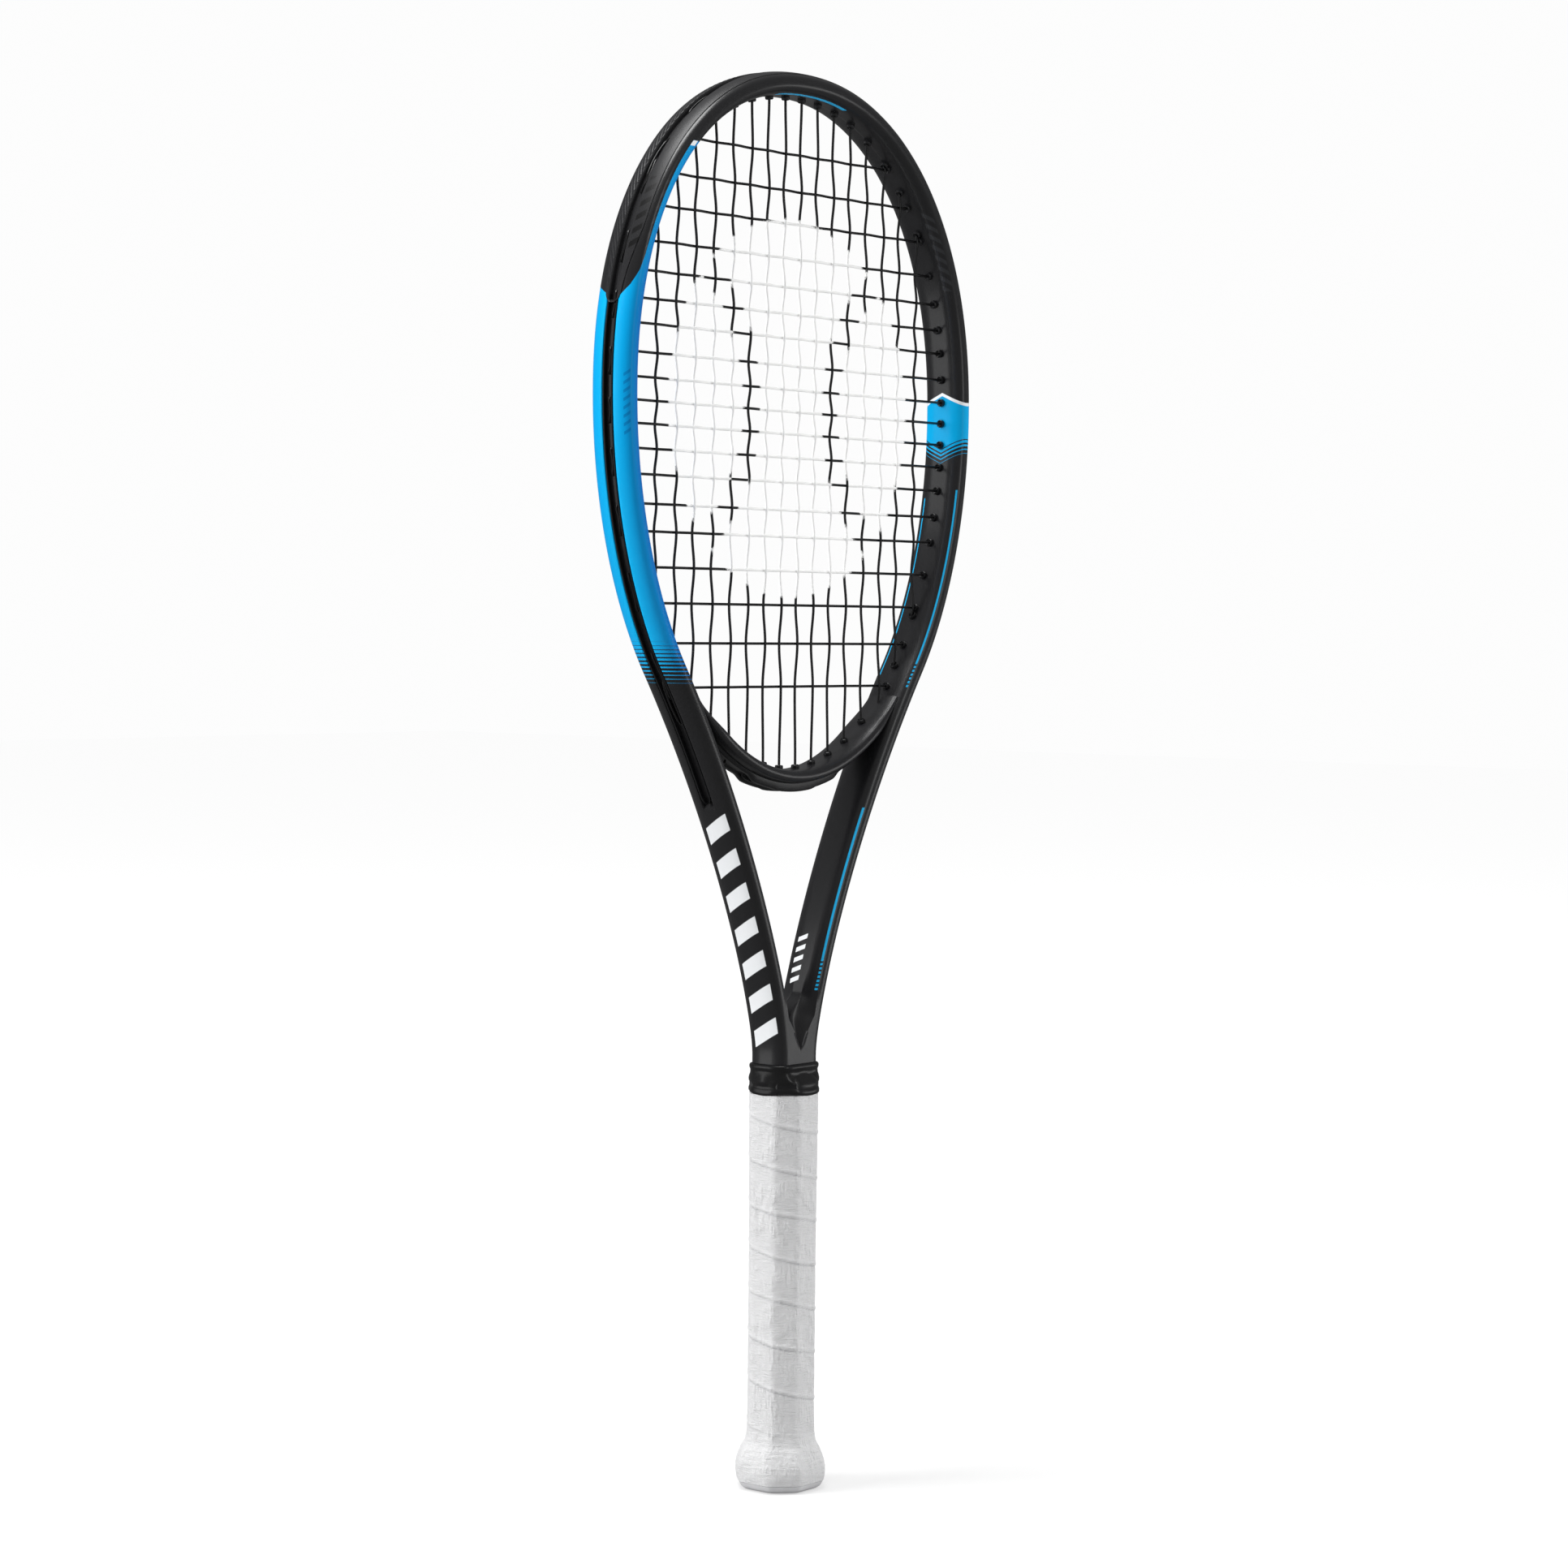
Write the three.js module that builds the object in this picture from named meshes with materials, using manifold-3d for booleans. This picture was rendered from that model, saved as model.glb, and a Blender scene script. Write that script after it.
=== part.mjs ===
// Strung tennis racket: graphite hairpin frame, throat bridge, bumper, grommet strips,
// woven strings and wrapped handle. Units are millimetres. The origin is the middle of
// the butt end and +Z runs up the racket to the tip of the head. X runs across the head,
// and the string bed lies in the plane y = 0, with the front of the racket towards -Y.

import * as THREE from 'three';
import { mergeVertices } from 'three/addons/utils/BufferGeometryUtils.js';
import { ConvexGeometry } from 'three/addons/geometries/ConvexGeometry.js';
import Module from 'manifold-3d';

const wasm = await Module();
wasm.setup();

// ---- driving dimensions ----

const GAP = 0.3; // between neighbouring pieces

// Centreline of the hairpin tube.
const HOOP_HALF_WIDTH = 127.7;
const WIDEST_Z = 528.8;
const HOOP_RISE = 151.3; // widest line to the top of the centreline
const HOOP_TOP_POWER = 2.14; // a little squarer than an ellipse
const HOOP_DROP = 185.3; // widest line to the bottom of the full ellipse
const ARM_START_Z = 399.2; // the tube leaves the ellipse here
const ARM_UPPER_HANDLE = 98.8;
const ARM_LOWER_HANDLE = 22.4;
const SHAFT_TOP_Z = 211.2;
const SHAFT_X = 9.3;
const TUBE_END_Z = 8;

// Cross-section of the hairpin tube: out is away from the strings, depth is along Y.
const TUBE_OUT = 5.6;
const HOOP_HALF_DEPTH = 12;
const ARM_HALF_DEPTH = 11.1;
const HANDLE_HALF_DEPTH = 10.2;
const HANDLE_SHAFT_OUT_X = 11.5;
const WALL = 1.4;
const GROOVE_FLOOR_OUT = 2.6;
const GROOVE_HALF = 4.2;
const BUMPER_RECESS = 1.5;
const BUMPER_FLOOR_OUT = 2.0;
const BUMPER_END_Z = 565;
const STRIP_END_Z = 338;
const TUBES_MEET_Z = 217; // the two tubes touch below here
const TUBES_PART_Z = 235;
const SHAFT_TAPER_TOP_Z = 206;
const SHAFT_TAPER_END_Z = 196.5;

// Throat web and bridge.
const WEB_RIDGE_Z = 229;
const WEB_FACE_Z = 213.5;
const BRIDGE_HALF_WIDTH = 125.7;
const BRIDGE_DROP = 181.4;
const BRIDGE_OUT = 3.6;
const BRIDGE_SPAN = 0.66; // radians each side of the middle
const BRIDGE_HALF_DEPTH = 10.4;
const BRIDGE_REACH_Z = 385; // holes below here come near the bridge
const THROAT_STRIP_SPAN = 0.51; // radians each side of the middle

// Strings and grommets. Offsets are from the middle of the head, heights from the butt end.
const MAIN_OFFSETS = [6.2, 18.5, 31.4, 44.2, 57.9, 71.7, 84.6, 99];
const CROSS_HEIGHTS = [
  647.3, 629.7, 614, 597.4, 583.5, 570.7, 559.1, 545.9, 534.4, 523.8,
  513, 501.6, 489.7, 476.2, 463.4, 446.9, 430.3, 411.7, 390.9,
];
const BRIDGE_MAINS = 5; // on each side of the middle
const STRING_R = 0.8; // corner radius of the three-sided section
const WEAVE = 1.0; // how far a string rises over the one it crosses
const LOOP_RISE = 0.9; // string loops above the channel's floor
const LOOP_Y = 2.0;
const TIP_REACH = 1.2; // barrel beyond the inner face
const SLANT = 0.2; // share of the barrel's turn from square-on towards the string
const BRIDGE_SLANT = 0.7;
const HOLE_HALF = 1.9;
const BARREL_HALF = 1.6;
const BORE_HALF = 0.95;
const CHANNEL_FLOOR_OUT = 3.55;
const BRIDGE_CHANNEL_OUT = 4.85;
const CHANNEL_HALF = 3.0;

// Handle: an octagon given by half width, half depth and distance to the slanted faces.
const GRIP = { x: 15.65, y: 15.25, d: 16.94 };
const GRIP_THICKNESS = 1.7;
const HANDLE_TOP_Z = 192.5;
const HANDLE_SLIM = 0.965;
const HANDLE_SLIM_Z = 120;
const GRIP_BOTTOM_Z = 4;
const GRIP_TOP_Z = 199.5;
const TUCKED_GRIP = 0.65; // grip thickness under the collar
const PALLET_TOP_Z = 196;
const PALLET_BOTTOM_Z = 6;
const CAP_FLOOR_Z = 5;
const CAP_TOP_Z = 27;
const BUTT_FLARE = [
  [4, 1.165], [8, 1.235], [12.5, 1.27], [17, 1.215], [22, 1.115], [28, 1.02], [36, HANDLE_SLIM],
];
const PLATE = { x: 11, y: 10.6, d: 11.8 };
const PLATE_DEPTH = 1.2;
const TAPE_THICKNESS = 0.3;
const COLLAR_BOTTOM_Z = 193.5;
const COLLAR_TOP_Z = 208;

// ---- colours ----

const surface = (color, roughness, metalness = 0) =>
  new THREE.MeshStandardMaterial({ color, roughness, metalness });
const FRAME_PAINT = surface(0x1c1d1f, 0.42);
const GROMMET_PLASTIC = surface(0x101112, 0.5);
const STRING_BLACK = surface(0x141414, 0.35);
const FOAM_GREY = surface(0x4a4d50, 0.95);
const PALLET_FOAM = surface(0x2b2b2d, 0.9);
const CAP_WHITE = surface(0xd9dadb, 0.55);
const PLATE_GREY = surface(0x9a9da1, 0.4);
const GRIP_WHITE = surface(0xe4e5e6, 0.8);
const TAPE_BLACK = surface(0x202020, 0.5);
const RUBBER_BLACK = surface(0x0c0c0d, 0.3);
const STAPLE_STEEL = surface(0xb4b7ba, 0.3, 1);

// ---- solids ----

const toManifold = (geometry) => {
  const bare = geometry.index ? geometry.clone() : geometry;
  bare.deleteAttribute('normal');
  bare.deleteAttribute('uv');
  const merged = mergeVertices(bare, 1e-5);
  return new wasm.Manifold(new wasm.Mesh({
    numProp: 3,
    vertProperties: new Float32Array(merged.attributes.position.array),
    triVerts: new Uint32Array(merged.index.array),
  }));
};

const fromManifold = (solid) => {
  const mesh = solid.getMesh();
  const geometry = new THREE.BufferGeometry();
  geometry.setAttribute('position', new THREE.BufferAttribute(mesh.vertProperties, 3));
  geometry.setIndex(new THREE.BufferAttribute(mesh.triVerts, 1));
  return geometry;
};

const joinAll = (first, others) => others.reduce((sum, solid) => sum.add(solid), first);
const cutAll = (first, others) => others.reduce((rest, solid) => rest.subtract(solid), first);

function signedVolume(points, triangles) {
  return triangles.reduce((sum, [a, b, c]) => {
    const across = new THREE.Vector3().crossVectors(points[b], points[c]);
    return sum + points[a].dot(across) / 6;
  }, 0);
}

// Skin over a row of rings with equal point counts. A looped skin joins its last ring to
// its first and has no caps.
function loft(rings, looped = false) {
  const count = rings[0].length;
  const points = rings.flat();
  const triangles = [];
  const bands = looped ? rings.length : rings.length - 1;
  for (let ring = 0; ring < bands; ring++) {
    const low = ring * count;
    const high = ((ring + 1) % rings.length) * count;
    for (let i = 0; i < count; i++) {
      const j = (i + 1) % count;
      triangles.push([low + i, low + j, high + j], [low + i, high + j, high + i]);
    }
  }
  if (!looped) {
    const last = (rings.length - 1) * count;
    capFaces(rings[0]).forEach(([a, b, c]) => triangles.push([c, b, a]));
    capFaces(rings[rings.length - 1]).forEach((corners) => {
      triangles.push(corners.map((corner) => last + corner));
    });
  }
  if (signedVolume(points, triangles) < 0) triangles.forEach((face) => face.reverse());
  const geometry = new THREE.BufferGeometry().setFromPoints(points);
  geometry.setIndex(triangles.flat());
  return geometry;
}

// Triangles over a flat ring, wound the way the ring runs.
function capFaces(ring) {
  const centre = ring.reduce((sum, point) => sum.add(point), new THREE.Vector3()).divideScalar(ring.length);
  const normal = new THREE.Vector3();
  ring.forEach((point, i) => {
    const next = ring[(i + 1) % ring.length];
    normal.add(new THREE.Vector3().crossVectors(point.clone().sub(centre), next.clone().sub(centre)));
  });
  normal.normalize();
  const turn = new THREE.Quaternion().setFromUnitVectors(normal, new THREE.Vector3(0, 0, 1));
  const flat = ring.map((point) => {
    const turned = point.clone().sub(centre).applyQuaternion(turn);
    return new THREE.Vector2(turned.x, turned.y);
  });
  return THREE.ShapeUtils.triangulateShape(flat, []);
}

// Square bar from one point to another, with two faces square to Y.
function bar(from, to, half) {
  const along = to.clone().sub(from).normalize();
  const side = new THREE.Vector3(along.z, 0, -along.x);
  const up = new THREE.Vector3(0, 1, 0);
  const ring = (end) => [[1, 1], [-1, 1], [-1, -1], [1, -1]].map(([a, b]) => (
    end.clone().addScaledVector(side, a * half).addScaledVector(up, b * half)
  ));
  return loft([ring(from), ring(to)]);
}

function box(width, depth, height, x, y, z) {
  return new THREE.BoxGeometry(width, depth, height).translate(x, y, z);
}

// ---- the hairpin's centreline ----

class HoopTop extends THREE.Curve {
  getPoint(t, target = new THREE.Vector2()) {
    const angle = ((1 - t) * Math.PI) / 2;
    const bend = 2 / HOOP_TOP_POWER;
    const z = WIDEST_Z + HOOP_RISE * Math.sin(angle) ** bend;
    return target.set(HOOP_HALF_WIDTH * Math.cos(angle) ** bend, z);
  }
}

const armAngle = Math.asin((WIDEST_Z - ARM_START_Z) / HOOP_DROP);
const hoopSide = new THREE.EllipseCurve(0, WIDEST_Z, HOOP_HALF_WIDTH, HOOP_DROP, 0, -armAngle, true);
const armStart = hoopSide.getPoint(1);
const shaftTop = new THREE.Vector2(SHAFT_X, SHAFT_TOP_Z);
const arm = new THREE.CubicBezierCurve(
  armStart,
  armStart.clone().addScaledVector(hoopSide.getTangent(1), ARM_UPPER_HANDLE),
  shaftTop.clone().add(new THREE.Vector2(0, ARM_LOWER_HANDLE)),
  shaftTop,
);
const shaft = new THREE.LineCurve(shaftTop, new THREE.Vector2(SHAFT_X, TUBE_END_Z));
const halfHairpin = [new HoopTop(), hoopSide, arm, shaft];

// Place on the centreline. at is 0 at the tip, 1 at the widest line, 2 and 3 at the arm's
// ends and 4 at the tube's end, and is negative on the left. (nx, nz) points away from the
// strings.
function hairpinAt(at) {
  const side = at < 0 ? -1 : 1;
  const piece = Math.min(Math.floor(Math.abs(at)), halfHairpin.length - 1);
  const t = Math.abs(at) - piece;
  const point = halfHairpin[piece].getPoint(t);
  const tangent = at === 0 ? new THREE.Vector2(1, 0) : halfHairpin[piece].getTangent(t);
  return { at, x: side * point.x, z: point.y, nx: -side * tangent.y, nz: tangent.x };
}

// Place on the bridge's centreline, with at as the angle from the middle.
function bridgeAt(at) {
  const x = BRIDGE_HALF_WIDTH * Math.sin(at);
  const drop = BRIDGE_DROP * Math.cos(at);
  const normal = new THREE.Vector2(x / BRIDGE_HALF_WIDTH ** 2, -drop / BRIDGE_DROP ** 2).normalize();
  return { at, x, z: WIDEST_Z - drop, nx: normal.x, nz: normal.y };
}

function offsetPoint(station, out, y = 0) {
  return new THREE.Vector3(station.x + station.nx * out, y, station.z + station.nz * out);
}

// Value between low and high where a steadily rising or falling quantity reaches its target.
function solve(quantity, target, low, high) {
  const rising = quantity(high) > quantity(low);
  for (let step = 0; step < 50; step++) {
    const middle = (low + high) / 2;
    if (quantity(middle) < target === rising) low = middle;
    else high = middle;
  }
  return (low + high) / 2;
}

const hairpinAtHeight = (z) => solve((at) => hairpinAt(at).z, z, 0, 4);
const bumperEnd = hairpinAtHeight(BUMPER_END_Z);
const stripEnd = hairpinAtHeight(STRIP_END_Z);

const evenly = (from, to, count) =>
  Array.from({ length: count + 1 }, (_, i) => from + ((to - from) * i) / count);
const rightStations = [
  ...evenly(0, 1, 10), ...evenly(1, 2, 8), ...evenly(2, 3, 9),
  bumperEnd, stripEnd, ...[SHAFT_TAPER_TOP_Z, SHAFT_TAPER_END_Z, TUBE_END_Z].map(hairpinAtHeight),
].sort((a, b) => a - b).filter((at, i, all) => i === 0 || at - all[i - 1] > 1e-6);
const wholeHairpin = [...rightStations.slice(1).reverse().map((at) => -at), ...rightStations];

// ---- the tube's cross-section ----

const ease = (value, from, to) => THREE.MathUtils.smoothstep(value, from, to);
const mix = THREE.MathUtils.lerp;

// Where the section's main lines lie at one station.
function tubeSize({ at, x, z, nx }) {
  const bumper = ease(bumperEnd + 0.03 - Math.abs(at), 0, 0.03);
  const groove = ease(stripEnd + 0.06 - Math.abs(at), 0, 0.05);
  const handle = 1 - ease(z, SHAFT_TAPER_END_Z, SHAFT_TAPER_TOP_Z);
  const inHandle = (HANDLE_SHAFT_OUT_X - SHAFT_X) * handle;
  const out = mix(TUBE_OUT, 0, handle) + inHandle;
  const touching = -(Math.abs(x) + GAP) / Math.abs(nx || 1);
  const parting = mix(touching, -TUBE_OUT, ease(z, TUBES_MEET_Z, TUBES_PART_Z));
  const inner = z > TUBES_PART_Z ? -TUBE_OUT : parting;
  const armDepth = mix(ARM_HALF_DEPTH, HOOP_HALF_DEPTH, ease(z, 260, ARM_START_Z));
  return {
    out,
    inner,
    lip: out - BUMPER_RECESS * bumper,
    floor: mix(out, mix(GROOVE_FLOOR_OUT, BUMPER_FLOOR_OUT, bumper), groove),
    depth: mix(armDepth, HANDLE_HALF_DEPTH, handle),
  };
}

// Closed ring from the points of its +Y half, listed from the outer face to the inner one.
function mirroredRing(station, half) {
  const front = half.map(([out, y]) => offsetPoint(station, out, y));
  const back = half.map(([out, y]) => offsetPoint(station, out, -y)).reverse();
  return [...front, ...back];
}

function tubeRing(at, grow = 0) {
  const station = hairpinAt(at);
  const { inner, lip, floor, depth } = tubeSize(station);
  const middle = (TUBE_OUT + inner) / 2;
  const half = (TUBE_OUT - inner) / 2;
  const shoulder = lip - 0.28 * half;
  return mirroredRing(station, [
    [floor + grow, GROOVE_HALF],
    [lip + grow, GROOVE_HALF + 0.4],
    [shoulder + grow, 0.8 * depth + grow],
    [Math.min(middle + 0.1 * half, shoulder - 1), depth + grow],
    [middle - 0.62 * half - grow, 0.88 * depth + grow],
    [inner - grow, 0.4 * depth],
  ]);
}

function boreRing(at, shrink = 0) {
  const station = hairpinAt(at);
  const { inner, lip, floor, depth } = tubeSize(station);
  const half = (TUBE_OUT - inner) / 2;
  const middle = (TUBE_OUT + inner) / 2;
  return mirroredRing(station, [
    [floor - WALL - shrink, 0.36 * depth],
    [Math.min(lip - 0.28 * half - 1.6, floor + 0.6) - shrink, 0.7 * depth - shrink],
    [middle - 0.3 * half, 0.82 * depth - shrink],
    [inner + WALL + shrink, 0.36 * depth],
  ]);
}

// ---- string ends: where each string meets the frame ----

// A barrel starts at tip on the string's own line and leaves the frame at the path's place "at".
function hairpinEnd(tip, hitAt, low, high) {
  const towardsTip = (at) => {
    const { x, z, nx, nz } = hairpinAt(at);
    return (tip.x - x) * nz - (tip.z - z) * nx;
  };
  const squareAt = solve(towardsTip, 0, low, high);
  return aimedEnd(tip, hairpinAt, mix(squareAt, hitAt, SLANT), CHANNEL_FLOOR_OUT);
}

// String end with the direction of its barrel and the point where it comes out on the channel's floor.
function aimedEnd(tip, path, at, floorOut) {
  const exit = offsetPoint(path(at), floorOut);
  return { tip, path, at, floorOut, exit, along: exit.clone().sub(tip).normalize() };
}

const tipOut = -TUBE_OUT - TIP_REACH;
const mirrorPoint = (point) => point.clone().multiply(new THREE.Vector3(-1, 1, 1));
const mirrorEnd = (end) => aimedEnd(mirrorPoint(end.tip), end.path, -end.at, end.floorOut);

function topMainEnd(x) {
  const tipAt = solve((at) => offsetPoint(hairpinAt(at), tipOut).x, x, 0, 1);
  const hitAt = solve((at) => hairpinAt(at).x, x, 0, 1);
  return hairpinEnd(offsetPoint(hairpinAt(tipAt), tipOut), hitAt, 0, 1);
}

function crossEnd(z) {
  const tipAt = solve((at) => offsetPoint(hairpinAt(at), tipOut).z, z, 0, 2.5);
  return hairpinEnd(offsetPoint(hairpinAt(tipAt), tipOut), hairpinAtHeight(z), 0.1, 2.5);
}

function lowMainEnd(x) {
  const hitAt = solve((at) => hairpinAt(at).x, x, 1, 3);
  const tipAt = solve((at) => offsetPoint(hairpinAt(at), tipOut).x, x, 1, 3);
  const onHairpin = offsetPoint(hairpinAt(tipAt), tipOut);
  const onBridge = bridgeTip(x);
  return hairpinEnd(onHairpin.z > onBridge.z ? onHairpin : onBridge, hitAt, 1, 2.6);
}

function bridgeTip(x) {
  const reach = -BRIDGE_OUT - TIP_REACH;
  const tipAt = solve((at) => offsetPoint(bridgeAt(at), reach).x, x, 0, 0.9);
  return offsetPoint(bridgeAt(tipAt), reach);
}

function bridgeMainEnd(x) {
  const tip = bridgeTip(x);
  const squareAt = solve((at) => offsetPoint(bridgeAt(at), -BRIDGE_OUT).x, x, 0, 0.9);
  const hitAt = solve((at) => bridgeAt(at).x, x, 0, 0.9);
  return aimedEnd(tip, bridgeAt, mix(squareAt, hitAt, BRIDGE_SLANT), BRIDGE_CHANNEL_OUT);
}

const topEnds = MAIN_OFFSETS.map(topMainEnd);
const lowEnds = MAIN_OFFSETS.map((x, i) => (i < BRIDGE_MAINS ? bridgeMainEnd(x) : lowMainEnd(x)));
const sideEnds = CROSS_HEIGHTS.map(crossEnd);
const bothSides = (ends) => [...ends.map(mirrorEnd).reverse(), ...ends];
const allEnds = [...bothSides(topEnds), ...bothSides(lowEnds), ...bothSides(sideEnds)];
const hairpinEnds = allEnds.filter((end) => end.path === hairpinAt);
const bridgeEnds = allEnds.filter((end) => end.path === bridgeAt);

// Bar along an end's barrel, from a little before the tip to a little beyond the channel's floor.
function barrelBar({ tip, exit, along }, half, beforeTip, beyond) {
  const from = tip.clone().addScaledVector(along, -beforeTip);
  return toManifold(bar(from, exit.clone().addScaledVector(along, beyond), half));
}

const frameHole = (end) => barrelBar(end, HOLE_HALF, 0.5, 4);

// ---- frame pieces ----

function throatWeb() {
  const halfWidth = 8;
  const topHalfWidth = 9;
  const face = ARM_HALF_DEPTH - 0.05;
  const points = [];
  for (const side of [-1, 1]) {
    points.push(new THREE.Vector3(side * topHalfWidth, 0, WEB_RIDGE_Z));
    for (const front of [-1, 1]) {
      points.push(new THREE.Vector3(side * halfWidth, front * face, WEB_FACE_Z));
      points.push(new THREE.Vector3(side * halfWidth, front * face, SHAFT_TAPER_TOP_Z));
    }
  }
  return toManifold(new ConvexGeometry(points));
}

function hairpinFrame() {
  const side = (sign, ring) => wholeHairpin.filter((at) => at * sign >= 0).map(ring);
  const halves = [-1, 1].map((sign) => toManifold(loft(side(sign, (at) => tubeRing(at)))));
  const bore = toManifold(loft([...wholeHairpin.map((at) => boreRing(at))]
    .map((ring, i, all) => (i === 0 || i === all.length - 1 ? dropRing(ring) : ring))));
  const solid = joinAll(halves[0], [halves[1], throatWeb()]).subtract(bore);
  return fromManifold(cutAll(solid, hairpinEnds.map(frameHole)));
}

// The bore's end rings lie a little below the tube's ends, so that the bore is open there.
function dropRing(ring) {
  return ring.map((point) => point.clone().add(new THREE.Vector3(0, 0, -1)));
}

function bridgeRing(at) {
  const spread = Math.abs(at) / BRIDGE_SPAN;
  const depth = mix(BRIDGE_HALF_DEPTH, HOOP_HALF_DEPTH - 0.8, spread ** 2);
  return mirroredRing(bridgeAt(at), [
    [BRIDGE_OUT, 0.55 * depth], [BRIDGE_OUT - 1.8, depth],
    [-BRIDGE_OUT + 2, 0.95 * depth], [-BRIDGE_OUT, 0.5 * depth],
  ]);
}

// The tube near the bridge, grown by the gap.
function tubeClearance(sign) {
  const stations = rightStations.filter((at) => at > 1.6 && at < 2.7).map((at) => at * sign);
  return toManifold(loft(stations.map((at) => tubeRing(at, GAP))));
}

function throatBridge() {
  const arch = toManifold(loft(evenly(-BRIDGE_SPAN, BRIDGE_SPAN, 16).map(bridgeRing)));
  const clearance = [-1, 1].map(tubeClearance);
  const nearThroat = (end) => end.tip.z < ARM_START_Z && end.path(end.at).z < BRIDGE_REACH_Z;
  const holes = [...bridgeEnds, ...hairpinEnds].filter(nearThroat);
  return fromManifold(cutAll(arch, [...clearance, ...holes.map(frameHole)]));
}

// Light foam insert that fills the tube between two places on one side of the head.
function foamCore(sign) {
  const stations = rightStations.filter((at) => at > 0.35 && at < 0.75);
  const plug = toManifold(loft(stations.map((at) => boreRing(at * sign, GAP))));
  const holes = hairpinEnds.filter((end) => end.at * sign > 0.2 && end.at * sign < 0.9);
  return fromManifold(cutAll(plug, holes.map(frameHole)));
}

// ---- bumper and grommet strips ----

function channelRing(station, floorOut, topOut) {
  return mirroredRing(station, [[topOut, CHANNEL_HALF + 0.2], [floorOut, CHANNEL_HALF]]);
}

// Strip along a path with barrels that pass through the frame, and a channel that the string loops lie in.
function grommetStrip(stations, ring, ends, floorOut) {
  const body = toManifold(loft(stations.map(ring)));
  const barrels = ends.map((end) => barrelBar(end, BARREL_HALF, 0, -0.5));
  const channel = toManifold(loft(stations.map((station, i) => {
    const shifted = i === 0 || i === stations.length - 1 ? pushAlong(station, stations) : station;
    return channelRing(shifted, floorOut, floorOut + 4);
  })));
  const bores = ends.map((end) => barrelBar(end, BORE_HALF, 1, 2));
  return fromManifold(cutAll(joinAll(body, barrels).subtract(channel), bores));
}

// End station moved a little past the strip's end.
function pushAlong(station, stations) {
  const neighbour = station === stations[0] ? stations[1] : stations[stations.length - 2];
  const along = new THREE.Vector2(station.x - neighbour.x, station.z - neighbour.z).normalize();
  return { ...station, x: station.x + along.x, z: station.z + along.y };
}

function sideStripRing(station) {
  const bottom = GROOVE_FLOOR_OUT + GAP;
  const top = TUBE_OUT - GAP;
  return mirroredRing(station, [[top, GROOVE_HALF], [bottom, GROOVE_HALF - GAP]]);
}

function sideStrip(sign) {
  const seam = 0.004; // the strip starts just below the bumper
  const places = rightStations.filter((at) => at > bumperEnd && at <= stripEnd);
  const stations = [bumperEnd + seam, ...places].map((at) => hairpinAt(at * sign));
  const ends = hairpinEnds.filter((end) => end.at * sign > bumperEnd);
  return grommetStrip(stations, sideStripRing, ends, CHANNEL_FLOOR_OUT);
}

function bumperRing(station) {
  const lip = TUBE_OUT - BUMPER_RECESS + GAP + 0.05;
  const wing = mix(5.2, 9.1, ease(bumperEnd - Math.abs(station.at), 0, 0.28));
  const under = lip - (wing - GROOVE_HALF) * 0.3 + 0.15;
  return mirroredRing(station, [
    [TUBE_OUT, 0.7 * wing],
    [under + 1.1, wing],
    [under, wing],
    [lip, GROOVE_HALF + 0.1],
    [BUMPER_FLOOR_OUT + GAP, GROOVE_HALF - GAP],
  ]);
}

function bumperGuard() {
  const stations = wholeHairpin.filter((at) => Math.abs(at) <= bumperEnd).map(hairpinAt);
  const ends = hairpinEnds.filter((end) => Math.abs(end.at) < bumperEnd);
  return grommetStrip(stations, bumperRing, ends, CHANNEL_FLOOR_OUT);
}

function throatStripRing(station) {
  const floor = BRIDGE_OUT + GAP;
  const top = floor + 1.2 + 1.8 * (1 - ease(Math.abs(station.at), 0.2, 0.4));
  return mirroredRing(station, [[top, CHANNEL_HALF + 1.2], [floor, CHANNEL_HALF + 1.8]]);
}

function throatStrip() {
  const stations = evenly(-THROAT_STRIP_SPAN, THROAT_STRIP_SPAN, 12).map(bridgeAt);
  const strip = grommetStrip(stations, throatStripRing, bridgeEnds, BRIDGE_CHANNEL_OUT);
  return fromManifold(cutAll(toManifold(strip), [-1, 1].map(tubeClearance)));
}

// ---- strings ----

const mainLines = [...MAIN_OFFSETS.map((x) => -x).reverse(), ...MAIN_OFFSETS];
const mainTops = bothSides(topEnds);
const mainBottoms = bothSides(lowEnds);
const crossLefts = sideEnds.map(mirrorEnd);
const mainRises = (main, cross) => (main + cross) % 2 === 0;
const clearOfTips = 1.2;

function mainAcross(main) {
  const heights = CROSS_HEIGHTS.map((z, cross) => ({ z, y: mainRises(main, cross) ? WEAVE : -WEAVE }));
  const highest = mainTops[main].tip.z - clearOfTips;
  const lowest = mainBottoms[main].tip.z + clearOfTips;
  const inside = heights.filter(({ z }) => z < highest && z > lowest);
  return inside.reverse().map(({ z, y }) => new THREE.Vector3(mainLines[main], y, z));
}

function crossAcross(cross) {
  const places = mainLines.map((x, main) => ({ x, y: mainRises(main, cross) ? -WEAVE : WEAVE, main }));
  const z = CROSS_HEIGHTS[cross];
  const inside = places.filter(({ x, main }) => (
    Math.abs(x) < sideEnds[cross].tip.x - clearOfTips
    && z < mainTops[main].tip.z - clearOfTips && z > mainBottoms[main].tip.z + clearOfTips
  ));
  return inside.map(({ x, y }) => new THREE.Vector3(x, y, z));
}

const exitPoint = (end) => end.exit.clone().addScaledVector(end.along, LOOP_RISE);

// Loop in the groove from one hole to the next.
function loopPoints(from, to, y) {
  const out = from.floorOut + LOOP_RISE;
  return [0.22, 0.78].map((share) => offsetPoint(from.path(mix(from.at, to.at, share)), out, y));
}

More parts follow.
